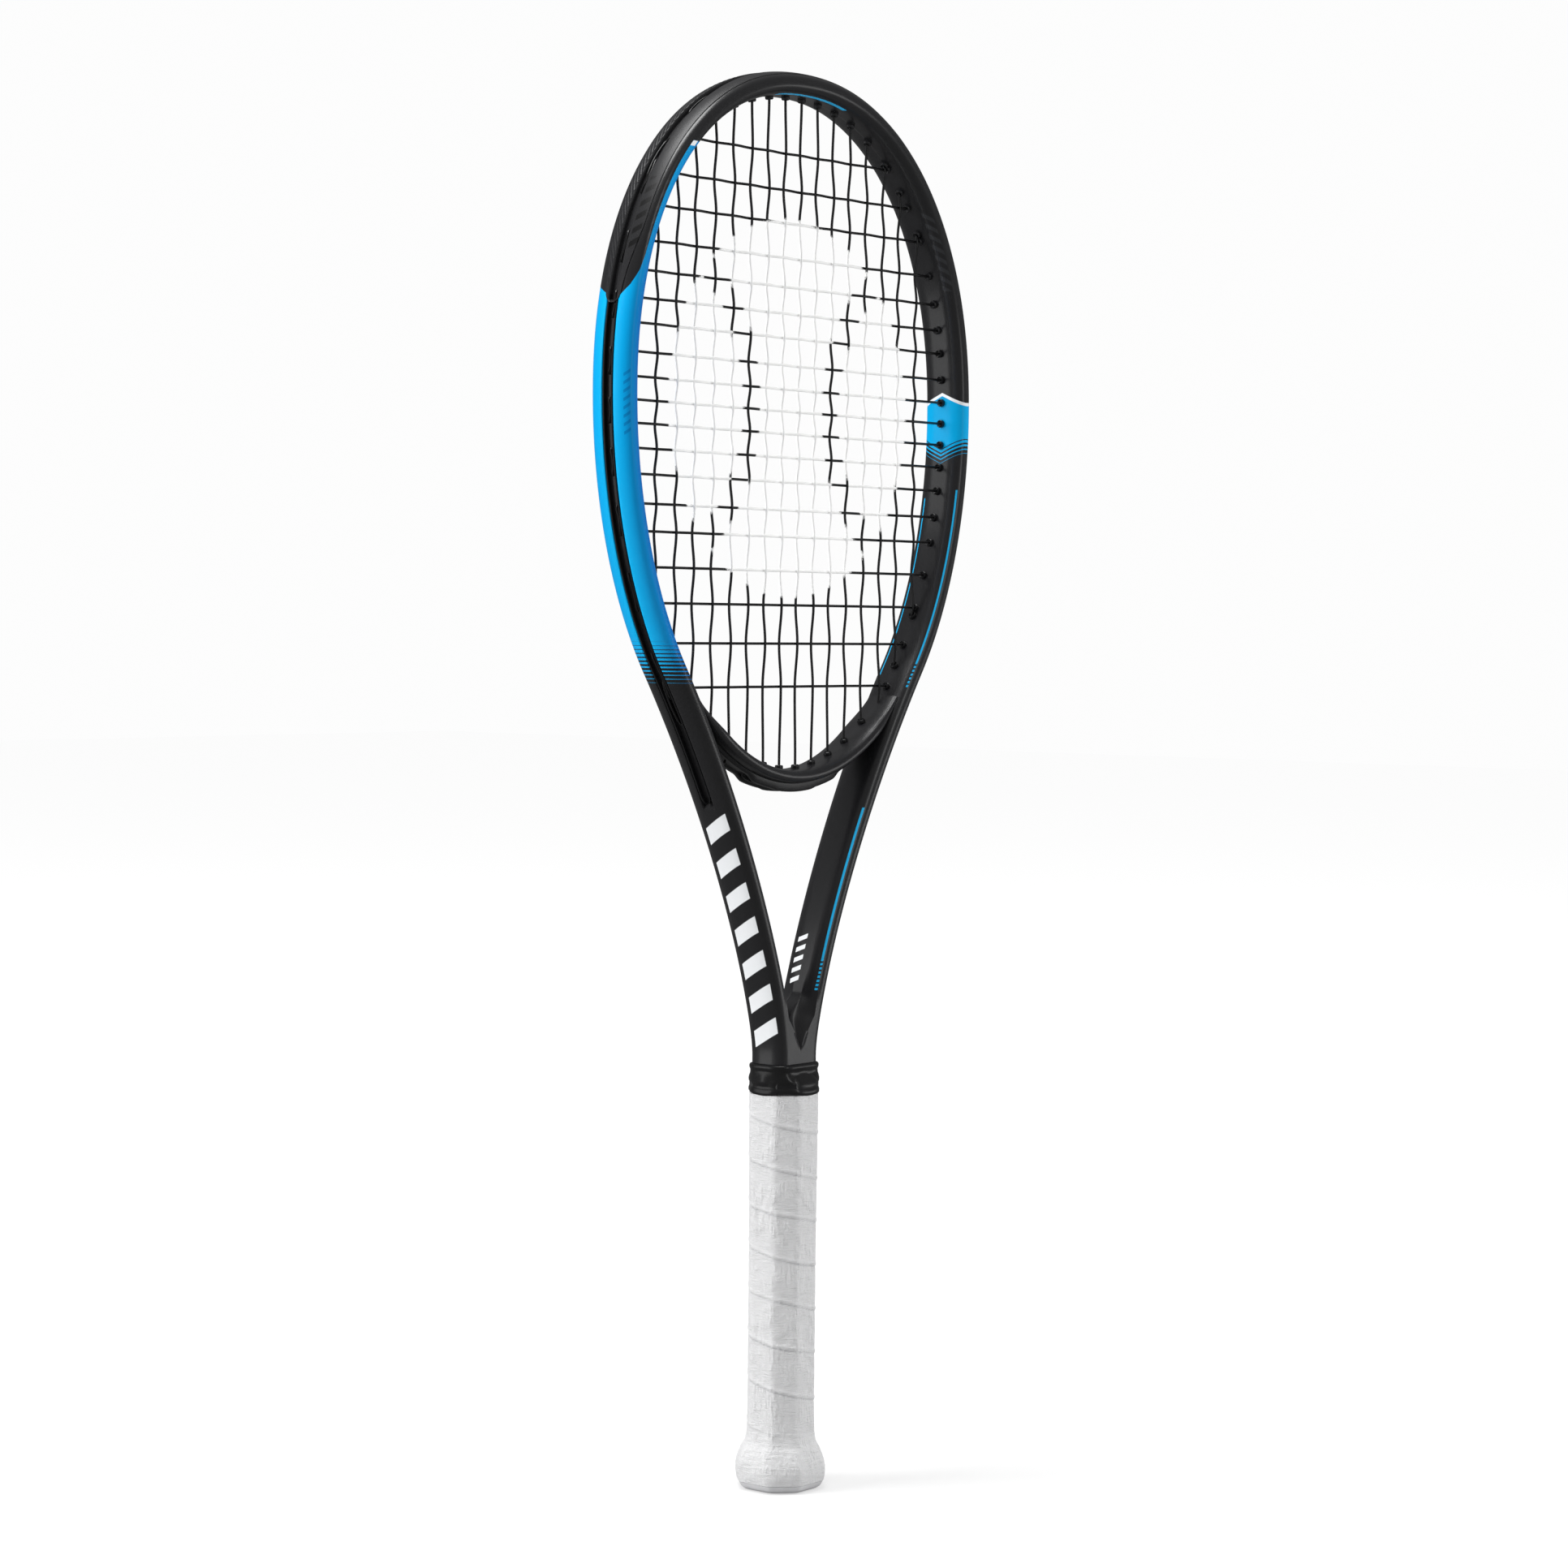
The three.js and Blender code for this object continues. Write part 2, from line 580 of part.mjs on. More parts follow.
// Zigzag of string through the head: each run goes from one end to the other, and loops join the runs.
function stringPath(runs, loopY) {
  return runs.flatMap(({ start, across, finish }, i) => {
    const next = runs[i + 1];
    const loop = next ? loopPoints(finish, next.start, loopY) : [];
    return [exitPoint(start), start.tip, ...across, finish.tip, exitPoint(finish), ...loop];
  });
}

function stringSolid(path) {
  const yAxis = new THREE.Vector3(0, 1, 0);
  const direction = (a, b) => b.clone().sub(a).normalize();
  const rings = path.map((point, i) => {
    const before = direction(path[Math.max(i - 1, 0)], i === 0 ? path[1] : point);
    const after = i === path.length - 1 ? before : direction(point, path[i + 1]);
    const tangent = before.clone().add(after).normalize();
    const side = new THREE.Vector3().crossVectors(tangent, yAxis).normalize();
    const up = new THREE.Vector3().crossVectors(side, tangent);
    return [0, 1, 2].map((corner) => {
      const angle = Math.PI / 2 + (corner * 2 * Math.PI) / 3;
      const spoke = point.clone().addScaledVector(side, STRING_R * Math.cos(angle));
      return spoke.addScaledVector(up, STRING_R * Math.sin(angle));
    });
  });
  return loft(rings);
}

const turnedRound = ({ start, across, finish }) =>
  ({ start: finish, across: across.slice().reverse(), finish: start });

function mainStrings() {
  const runs = mainLines.map((_, main) => {
    const up = { start: mainBottoms[main], across: mainAcross(main), finish: mainTops[main] };
    return main % 2 === 0 ? up : turnedRound(up);
  });
  return stringSolid(stringPath(runs, LOOP_Y));
}

function crossStrings() {
  const runs = CROSS_HEIGHTS.map((_, cross) => {
    const right = { start: crossLefts[cross], across: crossAcross(cross), finish: sideEnds[cross] };
    return cross % 2 === 0 ? right : turnedRound(right);
  });
  return stringSolid(stringPath(runs, -LOOP_Y));
}

// ---- handle ----

function octagon({ x, y, d }, z) {
  const cornerX = d * Math.SQRT2 - y;
  const cornerY = d * Math.SQRT2 - x;
  const quarter = [[x, cornerY], [cornerX, y]];
  const signs = [[1, 1], [-1, 1], [-1, -1], [1, -1]];
  return signs.flatMap(([sx, sy], i) => {
    const corners = i % 2 === 0 ? quarter : quarter.slice().reverse();
    return corners.map(([px, py]) => new THREE.Vector3(sx * px, sy * py, z));
  });
}

const scaled = (size, factor) => ({ x: size.x * factor, y: size.y * factor, d: size.d * factor });
const inset = (size, depth) => ({ x: size.x - depth, y: size.y - depth, d: size.d - depth });
const handleLevels = [...BUTT_FLARE, [HANDLE_SLIM_Z, HANDLE_SLIM], [HANDLE_TOP_Z, 1]];
const palletInset = GRIP_THICKNESS + GAP;
const palletSize = (factor) => inset(scaled(GRIP, factor), palletInset);
const shaftPocket = { x: HANDLE_SHAFT_OUT_X + GAP, y: HANDLE_HALF_DEPTH + GAP, d: 13.1 };

function gripTape() {
  const tuckZ = HANDLE_TOP_Z + 0.7;
  const lining = inset(GRIP, GRIP_THICKNESS);
  const tucked = inset(GRIP, GRIP_THICKNESS - TUCKED_GRIP);
  const outside = handleLevels.map(([z, factor]) => octagon(scaled(GRIP, factor), z));
  const inside = handleLevels.map(([z, factor]) => octagon(inset(scaled(GRIP, factor), GRIP_THICKNESS), z));
  const tuck = [octagon(tucked, tuckZ), octagon(tucked, GRIP_TOP_Z), octagon(lining, GRIP_TOP_Z)];
  const wrap = loft([...outside, ...tuck, ...inside.reverse()], true);
  return fromManifold(toManifold(wrap).subtract(toManifold(gripStaple(GAP))));
}

// Factor of the grip's outline at a height near the butt.
function flareAt(z) {
  const above = Math.max(1, BUTT_FLARE.findIndex(([level]) => level >= z));
  const [[lowZ, low], [highZ, high]] = BUTT_FLARE.slice(above - 1, above + 1);
  return mix(low, high, (z - lowZ) / (highZ - lowZ));
}

function handlePallet() {
  const levels = [[PALLET_BOTTOM_Z, HANDLE_SLIM], [HANDLE_SLIM_Z, HANDLE_SLIM], [PALLET_TOP_Z, 1]];
  const outside = levels.map(([z, factor]) => octagon(palletSize(factor), z));
  const inside = [octagon(shaftPocket, PALLET_TOP_Z), octagon(shaftPocket, PALLET_BOTTOM_Z)];
  const body = toManifold(loft([...outside, ...inside], true));
  return fromManifold(cutAll(body, capStaplePlaces.map((place) => toManifold(capStaple(place, GAP)))));
}

function buttCap() {
  const pocket = inset(palletSize(HANDLE_SLIM), -GAP);
  const plateHole = inset(PLATE, -GAP);
  const lipTop = GRIP_BOTTOM_Z - GAP;
  const lipProfile = [[0, 1.04], [1.4, 1.125], [lipTop, 1.165]];
  const lip = lipProfile.map(([z, factor]) => octagon(scaled(GRIP, factor), z));
  const body = [lipTop, 8, 12.5, 17, 22, CAP_TOP_Z].map((z) => (
    octagon(inset(scaled(GRIP, flareAt(Math.max(z, GRIP_BOTTOM_Z))), palletInset), z)
  ));
  const rings = [
    octagon(plateHole, PLATE_DEPTH), octagon(plateHole, 0), ...lip, ...body,
    octagon(pocket, CAP_TOP_Z), octagon(pocket, CAP_FLOOR_Z),
  ];
  const staples = [...capStaplePlaces.map((place) => capStaple(place, GAP)), gripStaple(GAP)];
  return fromManifold(cutAll(toManifold(loft(rings)), staples.map(toManifold)));
}

function endPlate() {
  return loft([octagon(PLATE, 0), octagon(PLATE, PLATE_DEPTH - GAP)]);
}

// ---- staples ----

const capStaplePlaces = [
  { name: 'front_left', x: -4.2, face: -1 },
  { name: 'front_right', x: 4.2, face: -1 },
  { name: 'rear_left', x: -4.2, face: 1 },
  { name: 'rear_right', x: 4.2, face: 1 },
];
const STAPLE_WIRE = 0.5;
const STAPLE_WIDTH = 6;
const CAP_STAPLE_Z = 21;
const GRIP_STAPLE_Z = 11;

// U of wire: a crown and two legs. grow makes the pocket that it sits in.
function staple(width, legLength, grow) {
  const wire = STAPLE_WIRE + 2 * grow;
  const crown = box(width + 2 * grow, wire, wire, 0, 0, 0);
  const legs = [-1, 1].map((side) => (
    box(wire, legLength + grow, wire, (side * (width - STAPLE_WIRE)) / 2, (legLength + grow) / 2, 0)
  ));
  return fromManifold(joinAll(toManifold(crown), legs.map(toManifold)));
}

// Staple through the cap's skirt into the pallet, from the front or the rear.
function capStaple({ x, face }, grow) {
  const crownY = GRIP.y * flareAt(CAP_STAPLE_Z) - palletInset - 0.8;
  const shape = staple(STAPLE_WIDTH, 3, grow);
  if (face > 0) shape.rotateZ(Math.PI);
  return shape.translate(x, face * crownY, CAP_STAPLE_Z);
}

// Staple that holds the start of the grip to the cap, on the left side.
function gripStaple(grow) {
  const crownX = GRIP.x * flareAt(GRIP_STAPLE_Z) - palletInset + 0.2;
  return staple(STAPLE_WIDTH, 2.6, grow).rotateZ(-Math.PI / 2).translate(-crownX, 0, GRIP_STAPLE_Z);
}

// ---- top of the handle ----

function finishingTape() {
  const innerSize = inset(GRIP, GRIP_THICKNESS - TUCKED_GRIP - GAP);
  const outerSize = inset(innerSize, -TAPE_THICKNESS);
  const bottom = COLLAR_BOTTOM_Z + 0.6;
  const top = GRIP_TOP_Z - 0.4;
  const rings = [
    octagon(outerSize, bottom), octagon(outerSize, top), octagon(innerSize, top), octagon(innerSize, bottom),
  ];
  return loft(rings, true);
}

function gripCollar() {
  const tapeOut = inset(GRIP, GRIP_THICKNESS - TUCKED_GRIP - 2 * GAP - TAPE_THICKNESS);
  const skirt = inset(GRIP, -0.55);
  const neckHole = { x: 15.5, y: 11.5, d: 15.7 };
  const neck = { x: 16.2, y: 12.5, d: 16.4 };
  const flange = { x: 16.8, y: 13.0, d: 17.0 };
  const outside = [
    [COLLAR_BOTTOM_Z, inset(GRIP, -0.3)], [COLLAR_BOTTOM_Z + 0.8, skirt],
    [COLLAR_BOTTOM_Z + 5.5, inset(GRIP, -0.4)], [COLLAR_BOTTOM_Z + 9.5, neck],
    [COLLAR_TOP_Z - 3.2, neck], [COLLAR_TOP_Z - 2.4, flange], [COLLAR_TOP_Z, flange],
  ];
  const inside = [
    [COLLAR_TOP_Z, neckHole], [GRIP_TOP_Z + 3.5, neckHole],
    [GRIP_TOP_Z + 0.6, tapeOut], [COLLAR_BOTTOM_Z, tapeOut],
  ];
  return loft([...outside, ...inside].map(([z, size]) => octagon(size, z)), true);
}

// ---- assembly ----

const racket = new THREE.Group();
const fixed = new THREE.Group();
const sliding = new THREE.Group();
racket.add(fixed, sliding);

function addPiece(group, name, geometry, material) {
  const mesh = new THREE.Mesh(geometry, material);
  mesh.name = name;
  group.add(mesh);
}

addPiece(fixed, 'hairpin_frame', hairpinFrame(), FRAME_PAINT);
addPiece(fixed, 'throat_bridge', throatBridge(), FRAME_PAINT);
addPiece(fixed, 'foam_core_left', foamCore(-1), FOAM_GREY);
addPiece(fixed, 'foam_core_right', foamCore(1), FOAM_GREY);
addPiece(fixed, 'bumper_guard', bumperGuard(), GROMMET_PLASTIC);
addPiece(fixed, 'grommet_strip_left', sideStrip(-1), GROMMET_PLASTIC);
addPiece(fixed, 'grommet_strip_right', sideStrip(1), GROMMET_PLASTIC);
addPiece(fixed, 'throat_grommet_strip', throatStrip(), GROMMET_PLASTIC);
addPiece(fixed, 'main_strings', mainStrings(), STRING_BLACK);
addPiece(fixed, 'cross_strings', crossStrings(), STRING_BLACK);
addPiece(fixed, 'handle_pallet', handlePallet(), PALLET_FOAM);
addPiece(fixed, 'butt_cap', buttCap(), CAP_WHITE);
addPiece(fixed, 'butt_end_plate', endPlate(), PLATE_GREY);
capStaplePlaces.forEach((place) => {
  addPiece(fixed, `butt_cap_staple_${place.name}`, capStaple(place, 0), STAPLE_STEEL);
});
addPiece(fixed, 'grip_tape', gripTape(), GRIP_WHITE);
addPiece(fixed, 'grip_start_staple', gripStaple(0), STAPLE_STEEL);
addPiece(fixed, 'finishing_tape', finishingTape(), TAPE_BLACK);
addPiece(sliding, 'grip_collar', gripCollar(), RUBBER_BLACK);

export default racket;
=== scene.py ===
"""A strung tennis racket standing on its butt, dressed over the shared frame."""
import math

import bpy
import numpy as np
from mathutils import Matrix, Vector


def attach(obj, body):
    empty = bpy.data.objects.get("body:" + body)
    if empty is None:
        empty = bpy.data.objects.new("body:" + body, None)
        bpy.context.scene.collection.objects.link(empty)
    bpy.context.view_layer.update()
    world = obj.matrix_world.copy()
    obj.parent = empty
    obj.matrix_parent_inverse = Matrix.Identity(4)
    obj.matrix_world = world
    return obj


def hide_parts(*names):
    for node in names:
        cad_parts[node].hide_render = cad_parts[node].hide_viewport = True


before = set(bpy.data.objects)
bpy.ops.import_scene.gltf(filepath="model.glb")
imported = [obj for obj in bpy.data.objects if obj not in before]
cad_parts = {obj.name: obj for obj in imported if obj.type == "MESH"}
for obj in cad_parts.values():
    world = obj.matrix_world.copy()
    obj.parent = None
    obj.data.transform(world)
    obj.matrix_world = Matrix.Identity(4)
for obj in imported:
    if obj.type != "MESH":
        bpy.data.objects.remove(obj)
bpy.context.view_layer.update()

MM = 0.001

# ---------------------------------------------------------------- shape of the racket, in mm

# The hoop is a superellipse above its widest place and an ellipse below it, down to where the arms start.
HALF_WIDTH, WIDEST_Z, RISE, POWER, DROP = 127.7, 528.8, 151.3, 2.14, 185.3
# Each arm is a cubic curve from the hoop to the straight shaft. The last two numbers pull its ends straight.
ARM_START_Z, ARM_UPPER, ARM_LOWER = 399.2, 98.8, 22.4
SHAFT_X, SHAFT_TOP_Z, TUBE_END_Z = 9.3, 211.2, 8.0
TUBE_OUT = 5.6  # half the tube's width in the plane of the strings
GROOVE_HALF, GROOVE_FLOOR = 3.15, 2.6
BUMPER_END_Z, STRIP_END_Z = 566.0, 338.0
THROAT_Z, NOTCH_Z = 227.0, 213.5  # where the two tubes meet, and the point of the notch below
HANDLE_Z = (196.5, 206)  # over these heights the tube shrinks to fit inside the handle
BRIDGE_HALF_WIDTH, BRIDGE_DROP, BRIDGE_OUT = 125.7, 181.4, 3.6
BRIDGE_TURN, THROAT_STRIP_TURN = 0.655, 0.505  # half the arc that each one covers, in radians
MAIN_OFFSETS = [6.2, 18.5, 31.4, 44.2, 57.9, 71.7, 84.6, 99.0]
CROSS_HEIGHTS = [
    647.3, 629.7, 614.0, 597.4, 583.5, 570.7, 559.1, 545.9, 534.4, 523.8,
    513.0, 501.6, 489.7, 476.2, 463.4, 446.9, 430.3, 411.7, 390.9,
]
BRIDGE_MAINS = 5  # mains on each side that end in the bridge
LOWEST_END_Z = 300  # no string meets the arms below this
STRING_RADIUS, WEAVE = 0.64, 0.68
GRIP = (16.05, 15.85, 16.5)  # octagon: middle to the side, front and slanted flats
GRIP_END_Z, GRIP_TOP_Z = 4, 199.5
TUCKED_Z, TUCKED = 193.3, 0.915  # the wrap is squeezed to this share under the collar
BUTT_FLARE = [  # height, and the wrap's size as a share of GRIP
    (0, 1.12), (1.2, 1.2), (3.4, 1.26), (4, 1.27), (6.5, 1.305), (9.5, 1.315), (12.5, 1.295), (15.5, 1.225),
    (19, 1.13), (22, 1.045), (25, 1.005), (28, 0.985), (33, 0.97), (38, 0.965), (120, 0.965), (192.5, 1.0),
    (200, 1.0),
]


def smooth(value, low, high):
    """0 up to low and 1 from high on, with an eased slope between."""
    t = np.clip((np.asarray(value, float) - low) / (high - low), 0, 1)
    return t * t * (3 - 2 * t)


def mix(a, b, t):
    return a + (b - a) * t


def column(values):
    return np.asarray(values)[:, None]


def row(*values):
    return np.array(values)[None]


# ---------------------------------------------------------------- centrelines

def half_hairpin():
    """Right half of the hairpin's centreline from the tip to the end of the tube."""
    turn = np.linspace(math.pi / 2, 0, 900)
    bend = 2 / POWER
    top_x, top_rise = HALF_WIDTH * np.abs(np.cos(turn)) ** bend, RISE * np.abs(np.sin(turn)) ** bend
    top = np.stack([top_x, WIDEST_Z + top_rise], 1)
    low = math.asin((WIDEST_Z - ARM_START_Z) / DROP)
    turn = np.linspace(0, -low, 700)[1:]
    side = np.stack([HALF_WIDTH * np.cos(turn), WIDEST_Z + DROP * np.sin(turn)], 1)
    start = side[-1]
    heading = np.array([-HALF_WIDTH * math.sin(low), -DROP * math.cos(low)])
    heading /= np.linalg.norm(heading)
    t = np.linspace(0, 1, 700)[1:, None]
    shaft_top = np.array([SHAFT_X, SHAFT_TOP_Z])
    leave, arrive = start + heading * ARM_UPPER, shaft_top + np.array([0, ARM_LOWER])
    arm = (1 - t) ** 3 * start + 3 * (1 - t) ** 2 * t * leave
    arm += 3 * (1 - t) * t ** 2 * arrive + t ** 3 * shaft_top
    shaft = shaft_top + np.linspace(0, 1, 200)[1:, None] * np.array([0, TUBE_END_Z - SHAFT_TOP_Z])
    return np.concatenate([top, side, arm, shaft])


class Path:
    """Planar path measured by its length, with a normal that points away from the strings."""

    def __init__(self, points):
        self.points = points
        steps = np.linalg.norm(np.diff(points, axis=0), axis=1)
        self.length = np.concatenate([[0], np.cumsum(steps)])
        tangent = np.gradient(points, self.length, axis=0)
        tangent /= np.linalg.norm(tangent, axis=1)[:, None]
        self.normals = np.stack([-tangent[:, 1], tangent[:, 0]], 1)

    def at(self, s):
        """Place and normal at the signed length s. Negative lengths are mirrored in x."""
        s = np.atleast_1d(np.asarray(s, float))
        sign = np.where(s < 0, -1.0, 1.0)
        tables = (*self.points.T, *self.normals.T)
        x, z, nx, nz = (np.interp(np.abs(s), self.length, table) for table in tables)
        x, nx = x * sign, nx * sign
        size = np.hypot(nx, nz)
        return x, z, nx / size, nz / size

    def where(self, axis, value, out=0.0, low=0.0, high=None):
        """Length at which the path, offset outwards, reaches a value of x or z."""
        keep = (self.length >= low) & (self.length <= (high or self.length[-1]))
        line = self.points[keep, axis] + out * self.normals[keep, axis]
        order = np.argsort(line)
        return float(np.interp(value, line[order], self.length[keep][order]))


def half_bridge():
    """Right half of the bridge's centreline, from the middle outwards."""
    turn = np.linspace(0, 0.9, 900)
    return np.stack([BRIDGE_HALF_WIDTH * np.sin(turn), WIDEST_Z - BRIDGE_DROP * np.cos(turn)], 1)


hairpin = Path(half_hairpin())
bridge = Path(half_bridge())
bridge.normals = -bridge.normals
WIDEST_S = hairpin.where(1, WIDEST_Z)
BUMPER_END_S = hairpin.where(1, BUMPER_END_Z)
STRIP_END_S = hairpin.where(1, STRIP_END_Z)
LOWEST_END_S = hairpin.where(1, LOWEST_END_Z)
TUBE_END_S = float(hairpin.length[-1])


# ---------------------------------------------------------------- meshes

def add_object(name, data):
    made = bpy.data.objects.new(name, data)
    bpy.context.scene.collection.objects.link(made)
    return made


def add_mesh(name, vertices, faces, material, body="racket", sharp=40, attributes=None):
    """Mesh that rides on a body, with edges sharper than an angle in degrees left sharp."""
    mesh = bpy.data.meshes.new(name)
    mesh.from_pydata([tuple(v) for v in np.asarray(vertices) * MM], [], faces)
    for key, values in (attributes or {}).items():
        layer = mesh.attributes.new(key, "FLOAT", "POINT")
        layer.data.foreach_set("value", np.asarray(values, np.float32))
    mesh.polygons.foreach_set("use_smooth", [True] * len(mesh.polygons))
    mesh.set_sharp_from_angle(angle=math.radians(sharp))
    mesh.materials.append(material)
    piece = add_object(name, mesh)
    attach(piece, body)
    return piece


def skin(shape, looped=False):
    """Quads over a stack of closed rings. It has a cap at each end, or joins the last ring to the first."""
    count, width = shape
    faces = []
    for i in range(count if looped else count - 1):
        a, b = i * width, (i + 1) % count * width
        for j in range(width):
            k = (j + 1) % width
            faces.append((a + j, a + k, b + k, b + j))
    if not looped:
        faces.append(tuple(reversed(range(width))))
        faces.append(tuple((count - 1) * width + j for j in range(width)))
    return faces


def closed_sweep(path, s, half_out, half_y):
    """Rings along a path, one per length s, of a section given by its +Y half from outside to inside."""
    half_out, half_y = np.broadcast_arrays(half_out, half_y)
    out = np.concatenate([half_out, half_out[:, ::-1]], 1)
    y = np.concatenate([half_y, -half_y[:, ::-1]], 1)
    x, z, nx, nz = (column(values) for values in path.at(s))
    return np.stack(np.broadcast_arrays(x + nx * out, y, z + nz * out), 2)


def stand_for(piece, replaced):
    """Hides the frame's node that a piece stands for."""
    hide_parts(replaced)


def add_rings(name, rings, shader, replaced, looped=False, **options):
    """Mesh over a grid of rings, which stands for one of the frame's nodes."""
    faces = skin(rings.shape[:2], looped)
    stand_for(add_mesh(name, rings.reshape(-1, 3), faces, shader.material, **options), replaced)


def tube_along(points, radius, sides=8):
    """Vertices and faces of a round bar along a polyline that lies close to a plane y = constant."""
    points = np.asarray(points, float)
    steps = np.diff(points, axis=0)
    steps /= np.linalg.norm(steps, axis=1)[:, None]
    tangent = np.concatenate([steps[:1], steps[:-1] + steps[1:], steps[-1:]])
    tangent /= np.linalg.norm(tangent, axis=1)[:, None]
    side = np.cross(tangent, [0, 1, 0])
    side /= np.linalg.norm(side, axis=1)[:, None]
    up = np.cross(side, tangent)
    turn = np.arange(sides) * 2 * math.pi / sides
    ring = side[:, None] * np.cos(turn)[None, :, None] + up[:, None] * np.sin(turn)[None, :, None]
    vertices = points[:, None] + radius * ring
    return vertices.reshape(-1, 3), skin((len(points), sides))


def gather(parts):
    """Joins (vertices, faces) pairs into one."""
    vertices, faces, total = [], [], 0
    for part_vertices, part_faces in parts:
        vertices.append(part_vertices)
        faces += [tuple(i + total for i in face) for face in part_faces]
        total += len(part_vertices)
    return np.concatenate(vertices), faces


# ---------------------------------------------------------------- shader arithmetic

class Field:
    """Arithmetic on values inside a shader."""

    def __init__(self, tree, socket):
        self.tree, self.socket = tree, socket

    def math(self, operation, *others, clamp=False):
        made = self.tree.nodes.new("ShaderNodeMath")
        made.operation, made.use_clamp = operation, clamp
        for slot, value in zip(made.inputs, (self, *others)):
            connect(self.tree, slot, value)
        return Field(self.tree, made.outputs[0])

    def __add__(self, other):
        return self.math("ADD", other)

    def __sub__(self, other):
        return self.math("SUBTRACT", other)

    def __mul__(self, other):
        return self.math("MULTIPLY", other)

    def __truediv__(self, other):
        return self.math("DIVIDE", other)

    def __rsub__(self, other):
        return (self * -1) + other

    __radd__, __rmul__ = __add__, __mul__

    def above(self, edge, soft=0.1):
        """0 below the edge and 1 above it, with a soft step between."""
        return ((self - edge) / soft).math("ADD", 0.5, clamp=True)

    def below(self, edge, soft=0.1):
        return 1 - self.above(edge, soft)

    def between(self, low, high, soft=0.1):
        return self.above(low, soft) * self.below(high, soft)

    def either(self, other):
        return self.math("MAXIMUM", other)

    def wave(self, period):
        """Climbs from 0 to 1 over each period."""
        return (self / period).math("FRACT")

    def bars(self, period, start, end, soft=0.03):
        """1 over one part of each period."""
        return self.wave(period).between(start, end, soft)

    def size(self):
        return self.math("ABSOLUTE")

    def clamped(self):
        return self.math("ADD", 0, clamp=True)


def connect(tree, slot, value):
    """Feeds an input from a field, from another node's output or with a fixed value."""
    if isinstance(value, Field):
        tree.links.new(value.socket, slot)
    elif hasattr(value, "links"):
        tree.links.new(value, slot)
    else:
        slot.default_value = value


def node(tree, kind, **values):
    """New node with its settings and inputs given by name."""
    made = tree.nodes.new(kind)
    for key, value in values.items():
        if hasattr(made, key) and key not in made.inputs:
            setattr(made, key, value)
        else:
            connect(tree, made.inputs[key], value)
    return made


class Shader:
    """A principled material and the fields that drive it."""

    def __init__(self, name, slot, **values):
        self.material = bpy.data.materials.new(name)
        self.material.use_nodes = True
        self.tree = self.material.node_tree
        self.surface = self.tree.nodes["Principled BSDF"]
        self.slot = slot
        self.set(**values)
        scaled = node(self.tree, "ShaderNodeVectorMath", operation="SCALE", Scale=1 / MM)
        self.tree.links.new(self.tree.nodes.new("ShaderNodeTexCoord").outputs["Object"], scaled.inputs[0])
        self.mm = scaled.outputs[0]
        split = self.tree.nodes.new("ShaderNodeSeparateXYZ")
        self.tree.links.new(self.mm, split.inputs[0])
        self.x, self.y, self.z = (Field(self.tree, split.outputs[i]) for i in range(3))

    def set(self, **values):
        for key, value in values.items():
            connect(self.tree, self.surface.inputs[key.replace("_", " ")], value)

    def attribute(self, name):
        read = self.tree.nodes.new("ShaderNodeAttribute")
        read.attribute_name = name
        return Field(self.tree, read.outputs["Fac"])

    def noise(self, scale, detail=3, stretch=(1, 1, 1), roughness=0.5):
        shaped = node(self.tree, "ShaderNodeVectorMath", operation="MULTIPLY")
        self.tree.links.new(self.mm, shaped.inputs[0])
        shaped.inputs[1].default_value = stretch
        made = node(self.tree, "ShaderNodeTexNoise", Scale=scale, Detail=detail, Roughness=roughness)
        self.tree.links.new(shaped.outputs[0], made.inputs["Vector"])
        return Field(self.tree, made.outputs["Fac"])

    def curve(self, value, points):
        """Straight segments through (value, result) points."""
        first, last = points[0][0], points[-1][0]
        top = max(result for _, result in points)
        ramp = self.tree.nodes.new("ShaderNodeValToRGB")
        elements = ramp.color_ramp.elements
        while len(elements) < len(points):
            elements.new(0.5)
        for element, (at, result) in zip(elements, points):
            element.position = (at - first) / (last - first)
            element.color = (result / top,) * 3 + (1,)
        connect(self.tree, ramp.inputs[0], (value - first) / (last - first))
        return Field(self.tree, ramp.outputs[0]) * top

    def blend(self, base, colour, mask):
        made = node(self.tree, "ShaderNodeMix", data_type="RGBA")
        connect(self.tree, made.inputs[0], mask)
        connect(self.tree, made.inputs[6], base)
        connect(self.tree, made.inputs[7], colour)
        return made.outputs[2]

    def bump(self, height, distance, strength=1.0):
        made = node(self.tree, "ShaderNodeBump", Strength=strength, Distance=distance * MM)
        connect(self.tree, made.inputs["Height"], height)
        self.tree.links.new(made.outputs[0], self.surface.inputs["Normal"])


def linear(*colour):
    """Shader colour from red, green and blue as a screen shows them, from 0 to 255."""
    shares = [part / 255 for part in colour]
    return tuple(c / 12.92 if c <= 0.04045 else ((c + 0.055) / 1.055) ** 2.4 for c in shares) + (1,)


BLACK = linear(26, 26, 28)
DARK_GREY = linear(44, 45, 48)
BRIGHT_BLUE = linear(0, 178, 236)
# The panels' blue in painted shade, towards their inner faces.
PANEL_SHADE_BLUE = linear(0, 108, 186)
PATCH_BLUE = linear(0, 164, 222)
BAR_BLUE = linear(0, 100, 168)
WHITE = linear(238, 240, 242)

